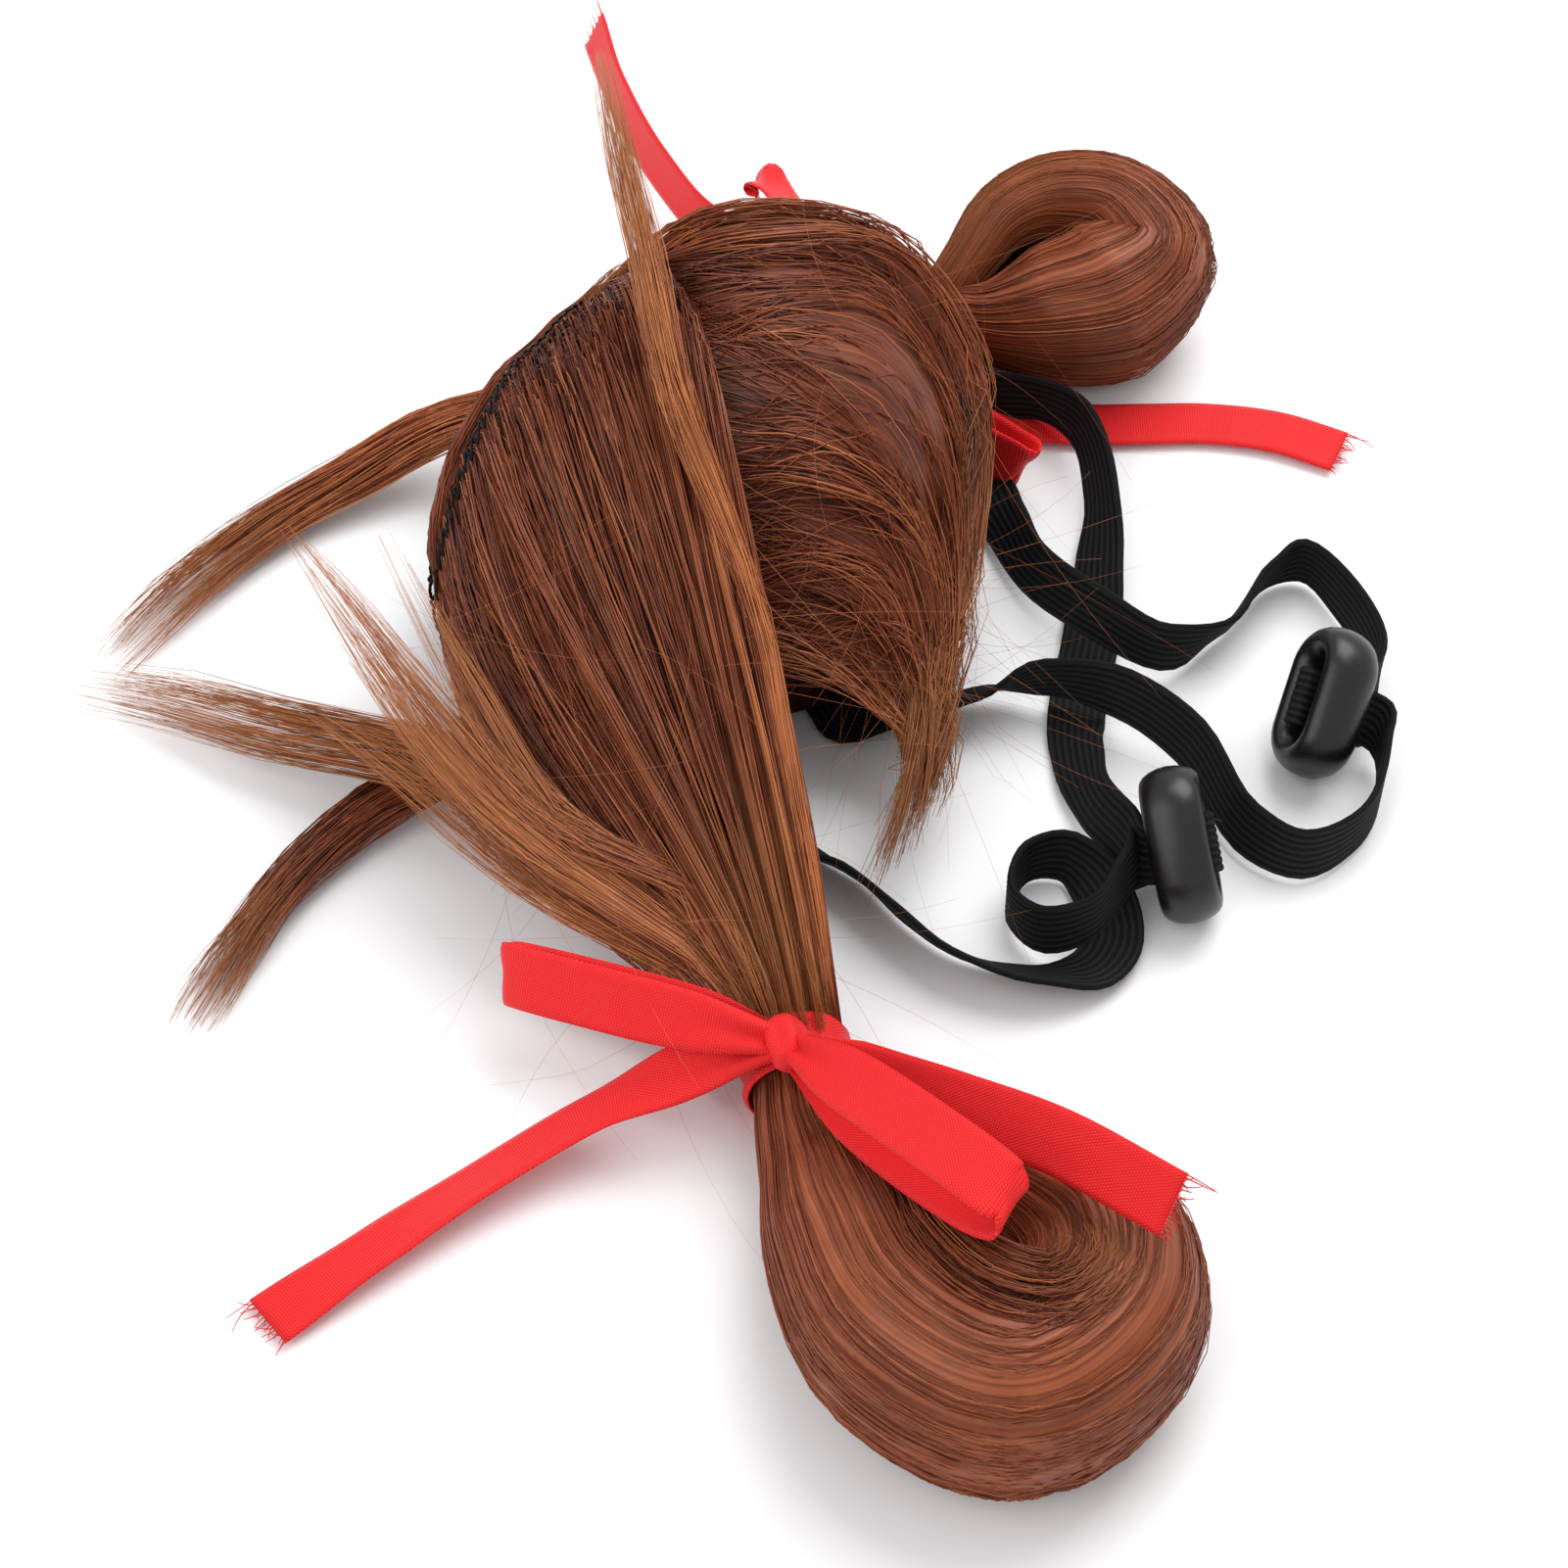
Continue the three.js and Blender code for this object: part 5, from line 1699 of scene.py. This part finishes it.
@dataclass
class ElasticStrap:
    """A chin strap: one length of elastic, sewn in at both ends and doubled through its slider."""

    node: str
    ring: RingPlace
    far_azimuth: float
    near_azimuth: float
    far: tuple[Turn, ...]
    near: tuple[Turn, ...]
    # Rise and inset of the rows inside the wall, then distance past the rim and height of those below it.
    inside: tuple[tuple[float, float], ...] = ((0.2, 2.6), (0.09, 2.2))
    below: tuple[tuple[float, float], ...] = ((-4, 2.4), (0, 1.8), (5, 1.8))

    def sewn_end(self, azimuth: float, turn: float) -> list[Turn]:
        """Rows from inside the cap's wall down and out below its rim.

        Args:
            azimuth: Where on the rim.
            turn: The heading of the width from there.

        Returns:
            The rows, from the sewn end outwards.
        """
        at = np.array(azimuth)
        rows = [CAP.point(at, np.array(rise), CAP_WALL + inset) for rise, inset in self.inside]
        radius = float(CAP.row(at)[0])
        for past, z in self.below:
            out = aim(azimuth, 0) * (radius + past)
            rows.append(np.array([CROWN[0] + out[0], CROWN[1] + out[1], z]))
        return [Turn(*p, azimuth + turn, 0) for p in rows]

    def doubled(self) -> list[Turn]:
        """Rows through the slider's hole, round a fold and back.

        Returns:
            The rows in order.
        """
        axis, tall, side = self.ring.axes()
        heading = math.degrees(math.atan2(tall[1], tall[0]))
        tilt = math.degrees(math.asin(tall[2]))
        layer = ELASTIC_THICK / 2 + 0.18
        half = ((6, -layer), (0, -layer), (-3, -layer), (-4.8, -1.4))
        spots = (*half, (-5.8, 0), *((deep, -off) for deep, off in reversed(half)))
        return [Turn(*(np.array(self.ring.centre) + axis * d + side * o), heading, tilt) for d, o in spots]

    def build(self, material: bpy.types.Material) -> bpy.types.Object:
        """Makes the strap and logs its length.

        Args:
            material: The elastic's finish.

        Returns:
            The finished piece.
        """
        rows = (
            *self.sewn_end(self.far_azimuth, 90),
            *self.far,
            *self.doubled(),
            *self.near,
            *reversed(self.sewn_end(self.near_azimuth, -90)),
        )
        band = FlatBand(rows, ELASTIC_WIDE, ribbed_profile(ELASTIC_WIDE, ELASTIC_THICK, ELASTIC_RIBS), 5)
        buffer = MeshBuffer()
        band.add_to(buffer)
        made = buffer.build(f"{self.node}_elastic", material, (self.node,), Slot.ELASTIC)
        length = band.length()
        LOG.info("%s: %.0f mm of elastic", made.name, length)
        return made


FRONT_FAR = row_table(
    Turn,
    (36.6, 72.5, 2, 40, 2), (37.4, 65, 3.4, 20, 20), (40, 56, 5.2, 32, 50), (44, 45, 6, 40, 62),
    (54, 32, 8.6, 60, 65), (66, 25, 7, 80, 78), (77, 31, 5.7, -80, 58), (85, 43, 5.7, -70, 74),
    (92, 47, 5.7, 100, 85), (99, 37, 5.7, 60, 75), (102.5, 25, 6, 60, 70), (101.5, 17, 6.2, 80, 55),
)
FRONT_NEAR = row_table(
    Turn,
    (101, 6, 7.4, 80, 55), (100.5, -4, 6, 70, 75), (96, -14, 5.7, 60, 85), (86, -20, 5.7, 80, 75),
    (77, -14, 5.6, 60, 65), (69, 4, 6.4, 40, 65), (58, 13, 8.4, 60, 70), (45, 17, 8.2, 80, 95),
    (33, 15.5, 5.6, 95, 140), (23, 13, 4, 80, 150),
)
REAR_FAR = row_table(
    Turn,
    (26.6, 93, 2.2, 95, 3), (31.5, 90, 4.2, 80, 30), (39, 88, 6.4, 85, 78), (47, 85.5, 8, 60, 88),
    (54, 79, 8.4, 20, 75), (57, 64, 6.6, 10, 62), (56, 48, 3.6, 0, 35), (54, 33, 1.2, -5, 0),
    (50.5, 15, 1.2, -5, 0), (50, 3, 3.6, 10, 35), (52, -9, 6.2, 45, 55), (56, -17.5, 8.6, 75, 45),
)
REAR_NEAR = row_table(
    Turn,
    (56, -27, 10, 75, 55), (50, -35.5, 9, 60, 80), (42, -36.5, 6.8, 90, 80), (37, -30, 5.7, 90, 90),
    (40, -21.5, 5.6, 90, 85), (47, -20, 5.2, 60, 70), (52.5, -26, 3.2, 40, 35), (54, -34, 1.4, 0, 0),
    (50, -41, 1.9, -45, 10), (40, -43.5, 4, -85, 40), (28, -40, 5, -100, 55), (19, -32, 5.4, -120, 65),
    (11, -23, 5, -130, 60), (2, -17, 4, -140, 40), (-8, -4, 1.8, -165, 5),
)


@dataclass
class SliderRing:
    """An oval plastic slider that a doubled strap runs through."""

    node: str
    place: RingPlace
    turns: int = 48
    sides: int = 20

    def build(self, material: bpy.types.Material) -> bpy.types.Object:
        """Models the slider from a torus pulled long and made deep.

        Args:
            material: The plastic's finish.

        Returns:
            The finished piece.
        """
        bpy.ops.object.select_all(action="DESELECT")
        bpy.ops.mesh.primitive_torus_add(
            major_segments=self.turns,
            minor_segments=self.sides,
            major_radius=RING_HALF[1] * MM,
            minor_radius=RING_TUBE * MM,
        )
        made = bpy.context.object
        made.name = made.data.name = f"{self.node}_slider"
        straight = (RING_HALF[0] - RING_HALF[1]) * MM
        for sign in (1, -1):
            self.pick(made, sign)
            bpy.ops.object.mode_set(mode="EDIT")
            bpy.ops.transform.translate(value=(sign * straight, 0, 0))
            bpy.ops.object.mode_set(mode="OBJECT")
        bpy.ops.object.mode_set(mode="EDIT")
        bpy.ops.mesh.select_all(action="SELECT")
        bpy.ops.transform.resize(value=(1, 1, RING_DEEP / RING_TUBE))
        bpy.ops.mesh.normals_make_consistent(inside=False)
        bpy.ops.object.mode_set(mode="OBJECT")
        axis, tall, side = self.place.axes()
        turn = Matrix(np.array([tall, side, axis]).T.tolist()).to_4x4()
        made.matrix_world = Matrix.Translation(Vector(to_frame(np.array(self.place.centre)))) @ turn
        bpy.context.view_layer.update()
        lowest = min((made.matrix_world @ v.co).z for v in made.data.vertices)
        made.location.z += max(0.0, TABLE_TOUCH * MM - lowest)
        bpy.ops.object.transform_apply(location=True, rotation=True, scale=True)
        bpy.ops.object.shade_smooth()
        made.data.materials.append(material)
        settle(made, (self.node,))
        return made

    def pick(self, made: bpy.types.Object, sign: int) -> None:
        """Selects the corners on one half of the torus.

        Args:
            made: The torus.
            sign: Which half along X.
        """
        bpy.ops.object.mode_set(mode="EDIT")
        bpy.ops.mesh.select_all(action="DESELECT")
        bpy.ops.object.mode_set(mode="OBJECT")
        for v in made.data.vertices:
            v.select = sign * v.co.x > 1e-6


@dataclass
class RibbonBow:
    """A tied bow: a wrap round the neck of hair, a knot, two loops and two free tails with frayed ends."""

    node: str
    tie: Tie
    knot: tuple[float, float, float]
    knot_heading: float
    loops: tuple[LoopTip, ...]
    tails: tuple[tuple[Turn, ...], ...]
    seed: int
    threads: int = 22
    # The length of ribbon that is hidden in the knot.
    knot_mm: float = 24.0
    # The knot's half width, half height and half length.
    knot_half: tuple[float, float, float] = (3.3, 3.2, 5.0)
    knot_rings: int = 15
    knot_sides: int = 28
    knot_crease: float = 0.13
    # A loop's course: how far towards its tip, and how far open, out and back.
    stages: tuple[tuple[float, float], ...] = (
        (0.02, 0.14), (0.14, 0.5), (0.3, 0.82), (0.65, 1.0), (0.9, 0.78), (0.985, 0.4), (1.0, 0.0),
        (0.985, -0.4), (0.9, -0.78), (0.65, -1.0), (0.3, -0.82), (0.14, -0.5), (0.02, -0.14),
    )

    def loop_rows(self, tip: LoopTip) -> tuple[Turn, ...]:
        """Rows from the knot to a loop's tip and back.

        Args:
            tip: The loop.

        Returns:
            The rows in order.
        """
        centre = np.array(self.knot)
        ahead = np.array([tip.x, tip.y, tip.z]) - centre
        across = aim(tip.heading, tip.tilt)
        off = unit(np.cross(across, ahead))
        rows = []
        for way, part in self.stages:
            p = centre + ahead * way + off * part * tip.fat + across * max(-part, 0) * tip.slip
            p = p + np.array(tip.sag) * math.sin(math.pi * way)
            rows.append(Turn(*p, tip.heading + 7 * part, tip.tilt))
        return tuple(rows)

    def add_wrap(self, buffer: MeshBuffer) -> None:
        """Adds the turn of ribbon round the neck, with two soft folds.

        Args:
            buffer: The bow's mesh.
        """
        along = aim(self.tie.heading, 0)
        side = np.cross(along, UP)
        turn = np.linspace(0, 2 * math.pi, 48, endpoint=False)
        profile = ribbon_profile(RIBBON_WIDE, RIBBON_THICK)
        fold = 0.35 * np.cos(profile[:, 0] * 1.6)
        reach = self.tie.radius + 0.9 + profile[:, 1] + fold
        out = np.cos(turn)[:, None] * side + np.sin(turn)[:, None] * UP
        middle = np.array([self.tie.x, self.tie.y, self.tie.z])
        rings = middle + out[:, None] * reach[None, :, None] + along * profile[None, :, :1]
        run = turn[:, None] * self.tie.radius
        uv = grain(rings.shape[:2], profile[:, 0] / RIBBON_WIDE, run / RIBBON_WIDE)
        buffer.add_rings(rings[::-1], uv, loop=True)

    def add_knot(self, buffer: MeshBuffer) -> None:
        """Adds the knot: a short gathered turn of ribbon with creases.

        Args:
            buffer: The bow's mesh.
        """
        axis = aim(self.knot_heading + 90, 0)
        side = np.cross(axis, UP)
        wide, tall, reach = self.knot_half
        k = np.linspace(-1, 1, self.knot_rings)
        turn = np.arange(self.knot_sides) / self.knot_sides * 2 * math.pi
        size = np.sqrt(np.maximum(1 - np.abs(k) ** 3.2, 0.06))
        crease = 1 + self.knot_crease * np.cos(5 * turn + 0.6)[None, :] * np.cos(2.0 * k)[:, None]
        across = np.cos(turn) * ((wide * size)[:, None] * crease)
        up = -np.sin(turn) * ((tall * size)[:, None] * crease)
        rings = np.array(self.knot) + (axis * (k * reach)[:, None])[:, None]
        rings = rings + side * across[..., None] + UP * up[..., None]
        buffer.add_rings(rings, grain(rings.shape[:2], k[:, None] * 0.5, turn * 0.4))

    def add_frays(self, buffer: MeshBuffer, band: FlatBand, rng: np.random.Generator) -> None:
        """Adds loose threads at a tail's cut end.

        Args:
            buffer: The bow's mesh.
            band: The tail.
            rng: The bow's own random numbers.
        """
        middle, across, out = band.line()
        end, ahead = middle[-1], unit(middle[-1] - middle[-2])
        x = np.linspace(-0.48, 0.48, self.threads) * RIBBON_WIDE
        reach = rng.uniform(1.0, 3.2, self.threads)
        reach[-2:] += 3.0
        s = np.linspace(0, 1, 6)[None, :, None]
        drift = rng.normal(0, 0.8, (self.threads, 1, 1)) * across[-1]
        drift = drift + rng.normal(0, 0.5, (self.threads, 1, 1)) * out[-1]
        paths = end + across[-1] * x[:, None, None] + ahead * (s * reach[:, None, None] - 0.6)
        paths = paths + drift * s**2
        raise_to(paths, TABLE_CLEAR)
        thick, tone = np.full(self.threads, 0.14), np.linspace(0, 1, self.threads)
        buffer.add_strands(paths, thick, np.linspace(1, 0.5, 6), tone)

    def build(self, material: bpy.types.Material) -> bpy.types.Object:
        """Makes the bow and logs its ribbon's length.

        Args:
            material: The ribbon's finish.

        Returns:
            The finished piece.
        """
        rng = np.random.default_rng(self.seed)
        profile = ribbon_profile(RIBBON_WIDE, RIBBON_THICK)
        buffer = MeshBuffer()
        self.add_wrap(buffer)
        self.add_knot(buffer)
        length = 2 * math.pi * self.tie.radius + self.knot_mm
        for tip in self.loops:
            rows = self.loop_rows(tip)
            band = FlatBand(rows, RIBBON_WIDE, profile, 5, pinch=(0.5, 0.5), pinch_reach=0.22, nip=0.16)
            band.add_to(buffer)
            length += band.length()
        for tail in self.tails:
            first = Turn(*self.knot, tail[0].heading, tail[0].tilt)
            band = FlatBand((first, *tail), RIBBON_WIDE, profile, 10, pinch=(0.45, 1.0), pinch_reach=0.3)
            band.add_to(buffer)
            self.add_frays(buffer, band, rng)
            length += band.length()
        made = buffer.build(f"{self.node}_ribbon", material, (self.node,), Slot.RIBBON)
        LOG.info("%s: %.0f mm of ribbon", made.name, length)
        return made


NEAR_LOOPS = (LoopTip(-44, -52, 16, 92, 38, 4, 0), LoopTip(32, -114, 45.4, 242, -12, 4.6, 3))
NEAR_TAILS = (
    row_table(
        Turn,
        (-11, -70, 17, 105, 20), (-29, -73, 8, 114, -24), (-47, -83, 3.8, 122, -26),
        (-63, -95, 2.6, 126, -18), (-78, -107, 1.2, 126, -3),
    ),
    row_table(
        Turn,
        (10.5, -74, 20, 80, 30), (26, -87.5, 30, 75, 35), (40, -98.5, 36.4, 70, 35),
        (55.5, -111, 39, 70, 40),
    ),
)
FAR_LOOPS = (
    LoopTip(-5, 137, 15, -90, 20, 4, 0, (-2, -2, -4)),
    LoopTip(43.5, 68, 8.5, -10, 60, 3, 0, (-7, 0, -5)),
)
FAR_TAILS = (
    row_table(
        Turn,
        (12, 118, 14.5, 35, 30), (1, 127, 8, 20, 68), (-13, 134, 6.2, 15, 80), (-24, 150, 7.5, 15, 78),
        (-33, 170, 10, 15, 76), (-38, 186, 13, 15, 70),
    ),
    row_table(
        Turn,
        (25, 98, 15, 30, 32), (31, 91, 8.5, 45, 14), (38, 87.5, 4, 65, 5), (47, 86, 1.8, 82, 2),
        (57, 85.6, 1.4, 90, 2), (67, 85.8, 1.4, 92, 2), (79, 85.8, 1.4, 90, 2), (91, 83.4, 1.6, 72, 3),
        (102, 78.5, 1.4, 62, 3),
    ),
)


@dataclass
class ClothCap:
    """The cap: a thin knitted dome, open below, with a rolled hem and dark stitches along its back rim."""

    node: str = "cap"
    columns: int = 96
    rises: int = 20
    hem_mm: float = 1.1
    stitches: int = 46
    back: tuple[float, float] = (104.0, 214.0)
    top_rise: float = 0.985
    crown_sides: int = 24
    # Rise and inset of the patch's rings, from under the crown to its top.
    crown_patch: tuple[tuple[float, float], ...] = (
        (0.999, 1.2), (0.96, 1.3), (0.96, -0.2), (0.999, -0.2),
    )
    hem_columns: int = 160
    hem_sides: int = 10
    thread_mm: float = 0.36

    def build(self, material: bpy.types.Material) -> bpy.types.Object:
        """Makes the dome, its hem and its stitches.

        Args:
            material: The cloth's finish.

        Returns:
            The finished piece.
        """
        buffer = MeshBuffer()
        azimuth = np.linspace(0, 360, self.columns, endpoint=False)
        a, r = np.meshgrid(azimuth, np.linspace(0, 1, self.rises) * self.top_rise, indexing="ij")
        outer, inner = (CAP.point(a, r, wall) for wall in (0.0, CAP_WALL * 0.6))
        rings = np.concatenate([outer[:, ::-1], inner], axis=1)
        buffer.add_rings(rings[::-1], np.zeros((*rings.shape[:2], 2)), loop=True)
        self.add_crown(buffer)
        self.add_hem(buffer)
        self.add_stitches(buffer)
        return buffer.build(f"{self.node}_net", material, (self.node,), Slot.CAP)

    def add_crown(self, buffer: MeshBuffer) -> None:
        """Adds the small round patch that closes the crown.

        Args:
            buffer: The cap's mesh.
        """
        turn = np.arange(self.crown_sides) / self.crown_sides * 360
        rings = [CAP.point(turn, np.full_like(turn, rise), wall) for rise, wall in self.crown_patch]
        rings = np.array(rings)
        buffer.add_rings(rings, np.zeros((*rings.shape[:2], 2)))

    def add_hem(self, buffer: MeshBuffer) -> None:
        """Adds the rolled hem along the whole rim.

        Args:
            buffer: The cap's mesh.
        """
        n, sides = self.hem_columns, self.hem_sides
        azimuth = np.linspace(0, 360, n, endpoint=False)
        line = CAP.point(azimuth, np.zeros(n), CAP_WALL * 0.3)
        raise_to(line, self.hem_mm + 0.05)
        out = np.stack([np.cos(np.radians(azimuth)), np.sin(np.radians(azimuth)), np.zeros(n)], -1)
        turn = np.arange(sides) / sides * 2 * math.pi
        ring = np.cos(turn)[None, :, None] * out[:, None] + np.sin(turn)[None, :, None] * UP
        buffer.add_rings(line[:, None] + ring * self.hem_mm, np.zeros((n, sides, 2)), loop=True)

    def add_stitches(self, buffer: MeshBuffer) -> None:
        """Adds slanted thread stitches over the back hem.

        Args:
            buffer: The cap's mesh.
        """
        azimuth = np.linspace(*self.back, self.stitches)
        s = np.linspace(0, 1, 5)
        lean = 1.1 * (2 * (np.arange(self.stitches) % 2) - 1)
        a = azimuth[:, None] + lean[:, None] * (s[None] - 0.5)
        paths = CAP.point(a, np.broadcast_to(0.012 + 0.05 * s, a.shape), -1.0)
        out = unit(paths - np.array([CROWN[0], CROWN[1], 0]))
        paths = paths + 0.5 * np.sin(math.pi * s)[None, :, None] * out
        thick, tone = np.full(self.stitches, self.thread_mm), np.zeros(self.stitches)
        buffer.add_strands(paths, thick, np.ones(5), tone)


@dataclass
class StrayHairs:
    """Fine hairs that stand off the combed hair and the fringe."""

    name: str = "stray_hairs"
    count: int = 200
    steps: int = 14
    seed: int = 91
    thick_mm: float = 0.034
    ceiling_mm: float = 82.0
    reach_mm: tuple[float, float] = (15.0, 55.0)
    droop_mm: float = 6.0
    sources: list[np.ndarray] = field(default_factory=list)

    def build(self, material: bpy.types.Material) -> bpy.types.Object:
        """Makes arcs from the sheets' outer guides.

        Args:
            material: The hair's finish.

        Returns:
            The finished piece.
        """
        rng = np.random.default_rng(self.seed)
        paths = np.zeros((self.count, self.steps, 3))
        s = np.linspace(0, 1, self.steps)[:, None]
        for i in range(self.count):
            grid = self.sources[i % len(self.sources)]
            line = grid[1, rng.integers(grid.shape[1])]
            k = int(rng.uniform(0.3, 0.9) * (len(line) - 2))
            ahead = unit(line[k + 1] - line[k])
            away = unit(rng.normal(0, 1, 3) * [1, 1, 0.3])
            reach = rng.uniform(*self.reach_mm)
            way = unit(ahead * rng.uniform(-0.2, 1.0) + away)
            bend = np.cross(way, unit(rng.normal(0, 1, 3) * [0.4, 0.4, 1]))
            bend = bend * reach * rng.uniform(-0.9, 0.9)
            paths[i] = line[k] + way * reach * s + bend * s**2 - UP * self.droop_mm * s**2
        paths[..., 2] = np.clip(paths[..., 2], TABLE_CLEAR, self.ceiling_mm)
        buffer = MeshBuffer()
        tone = np.clip(rng.normal(0.8, 0.15, self.count), 0.1, 1)
        thick, taper = np.full(self.count, self.thick_mm), np.linspace(1, 0.5, self.steps)
        buffer.add_strands(paths, thick, taper, tone)
        return buffer.build(self.name, material, (), Slot.HAIR)


@dataclass
class Studio:
    """The camera, the table and soft light."""

    elevation: float = 50.0
    distance_mm: float = 620.0
    pixels_per_radian: float = 3720.0
    image_pixels: int = 1601
    sensor_mm: float = 36.0
    table_m: float = 8.0
    table_drop_m: float = 0.0004
    sky: float = 0.75
    # Each lamp's name, place and width in metres, and watts.
    lamps: tuple[tuple[str, tuple[float, float, float], float, float], ...] = (
        ("key", (0.35, 0.45, 0.95), 0.8, 9.0),
        ("fill", (-0.7, -0.5, 0.8), 1.0, 5.0),
    )

    def build(self, material: bpy.types.Material) -> None:
        """Sets up the studio.

        Args:
            material: The table's finish.
        """
        target = Vector(to_frame(np.zeros(3)))
        tilt = math.radians(self.elevation)
        data = bpy.data.cameras.new("photo_camera")
        data.sensor_width = self.sensor_mm
        data.lens = self.pixels_per_radian / self.image_pixels * self.sensor_mm
        data.clip_start, data.clip_end = 0.01, 20
        camera = bpy.data.objects.new("photo_camera", data)
        camera.location = target + Vector((0, -math.cos(tilt), math.sin(tilt))) * self.distance_mm * MM
        camera.rotation_euler = (math.pi / 2 - tilt, 0, 0)
        bpy.context.scene.collection.objects.link(camera)
        bpy.context.scene.camera = camera
        bpy.ops.object.select_all(action="DESELECT")
        bpy.ops.mesh.primitive_plane_add(size=self.table_m, location=(0, 0, -self.table_drop_m))
        table = bpy.context.object
        table.name = table.data.name = "table"
        bpy.ops.object.transform_apply(location=True)
        table.data.materials.append(material)
        world = bpy.data.worlds.new("soft_box")
        world.use_nodes = True
        sky = world.node_tree.nodes["Background"].inputs
        sky["Color"].default_value = (1, 1, 1, 1)
        sky["Strength"].default_value = self.sky
        bpy.context.scene.world = world
        bpy.context.scene.view_settings.view_transform = "Standard"
        for lamp in self.lamps:
            self.add_light(*lamp)

    def add_light(self, name: str, place: tuple[float, float, float], size: float, watts: float) -> None:
        """Adds a soft lamp that points at the wig.

        Args:
            name: The lamp's name.
            place: Where it hangs, in metres.
            size: Its width in metres.
            watts: Its power.
        """
        data = bpy.data.lights.new(name, "AREA")
        data.size = size
        data.energy = watts
        lamp = bpy.data.objects.new(name, data)
        lamp.location = place
        lamp.rotation_euler = (-Vector(place)).to_track_quat("-Z", "Y").to_euler()
        bpy.context.scene.collection.objects.link(lamp)


def build_hair(hair: bpy.types.Material, thread: bpy.types.Material) -> None:
    """Builds the combed sides, the fringe, the pigtails, the loose locks and what trims them.

    Args:
        hair: The hair's finish.
        thread: The stitches' finish.
    """
    near = CombedSide(
        "side_hair_near", strands=3000, steps=9, locks=70, seed=11, drift=0.06, tone=0.29, fray=0.2,
        core_lines=260, thick_mm=0.13,
    )
    far = CombedSide(
        "side_hair_far", strands=700, steps=8, locks=30, seed=12, roots=FAR_ROOTS, tie=FAR_TIE, ridges=6,
        rows=10, lift_mm=0.3, thick=2.0, tone=0.55,
    )
    fringe = SweptFringe(
        "fringe", strands=1540, steps=16, locks=34, seed=13, sway_mm=2.4, lift_mm=1.9, drift=0.2, even=0.35,
        shingles=5, core_reach=0.85, core_lines=400, thick_mm=0.14, tone=0.37,
    )
    for sheet in (near, far, fringe):
        sheet.build(hair)
    looped = {
        "thick_mm": 0.13, "shell": 0.97, "splay_mm": 0, "ragged": 0.03, "core": 0.985, "sway_mm": 0.5,
        "even": 0.5, "closed_loop": True,
    }
    for tail in (
        HairLock(
            "tail_near", NEAR_LOOP, strands=380, steps=44, seed=21, tone=0.54, twist=-0.5, core_rings=110,
            core_sides=300, **looped,
        ),
        HairLock(
            "tail_far", FAR_LOOP, strands=330, steps=36, seed=22, up=FAR_LOOP_UP, tone=0.5, twist=-0.4,
            core_rings=90, core_sides=260, **looped,
        ),
    ):
        tail.build(hair)
    grid = near.guides()
    for number, (name, plan) in enumerate(LOCK_PLANS.items()):
        lead = lead_rows(grid, *plan.lead) if plan.lead else ()
        rows = (*lead, *LOCK_ROWS[name])
        HairLock(
            name, rows, plan.strands, LOCK_STEPS, LOCK_SEED + number, splay_mm=plan.splay_mm,
            core=plan.core, tone=plan.tone, ragged=plan.ragged,
        ).build(hair)
    HairLock(
        "rim_roll", rim_rows(grid, first=2, last=22, place=1), strands=190, steps=12, seed=61, splay_mm=0,
        ragged=0.3, core=0, tone=0.36, sway_mm=0.3, shell=0.5,
    ).build(hair)
    HemStitches().build(grid, thread)
    StrayHairs(sources=[grid, fringe.guides()]).build(hair)


def main() -> None:
    """Builds every piece in order."""
    logging.basicConfig(level=logging.INFO, format="%(name)s %(message)s")
    Studio().build(TABLE_BOARD.make())
    hair, ribbon = HairFinish().make(), RibbonFinish().make()
    elastic, plastic = ElasticFinish().make(), SLIDER_PLASTIC.make()
    ClothCap().build(CAP_NET.make())
    build_hair(hair, elastic)
    ElasticStrap("strap_front", RING_FRONT, 22, -60, FRONT_FAR, FRONT_NEAR).build(elastic)
    ElasticStrap("strap_rear", RING_REAR, 45, -90, REAR_FAR, REAR_NEAR).build(elastic)
    SliderRing("ring_front", RING_FRONT).build(plastic)
    SliderRing("ring_rear", RING_REAR).build(plastic)
    RibbonBow("bow_near", NEAR_TIE, (0.5, -70, 21.6), 15, NEAR_LOOPS, NEAR_TAILS, 51).build(ribbon)
    RibbonBow("bow_far", FAR_TIE, (20.5, 108, 18.9), 120, FAR_LOOPS, FAR_TAILS, 52).build(ribbon)


if __name__ == "__main__":
    main()
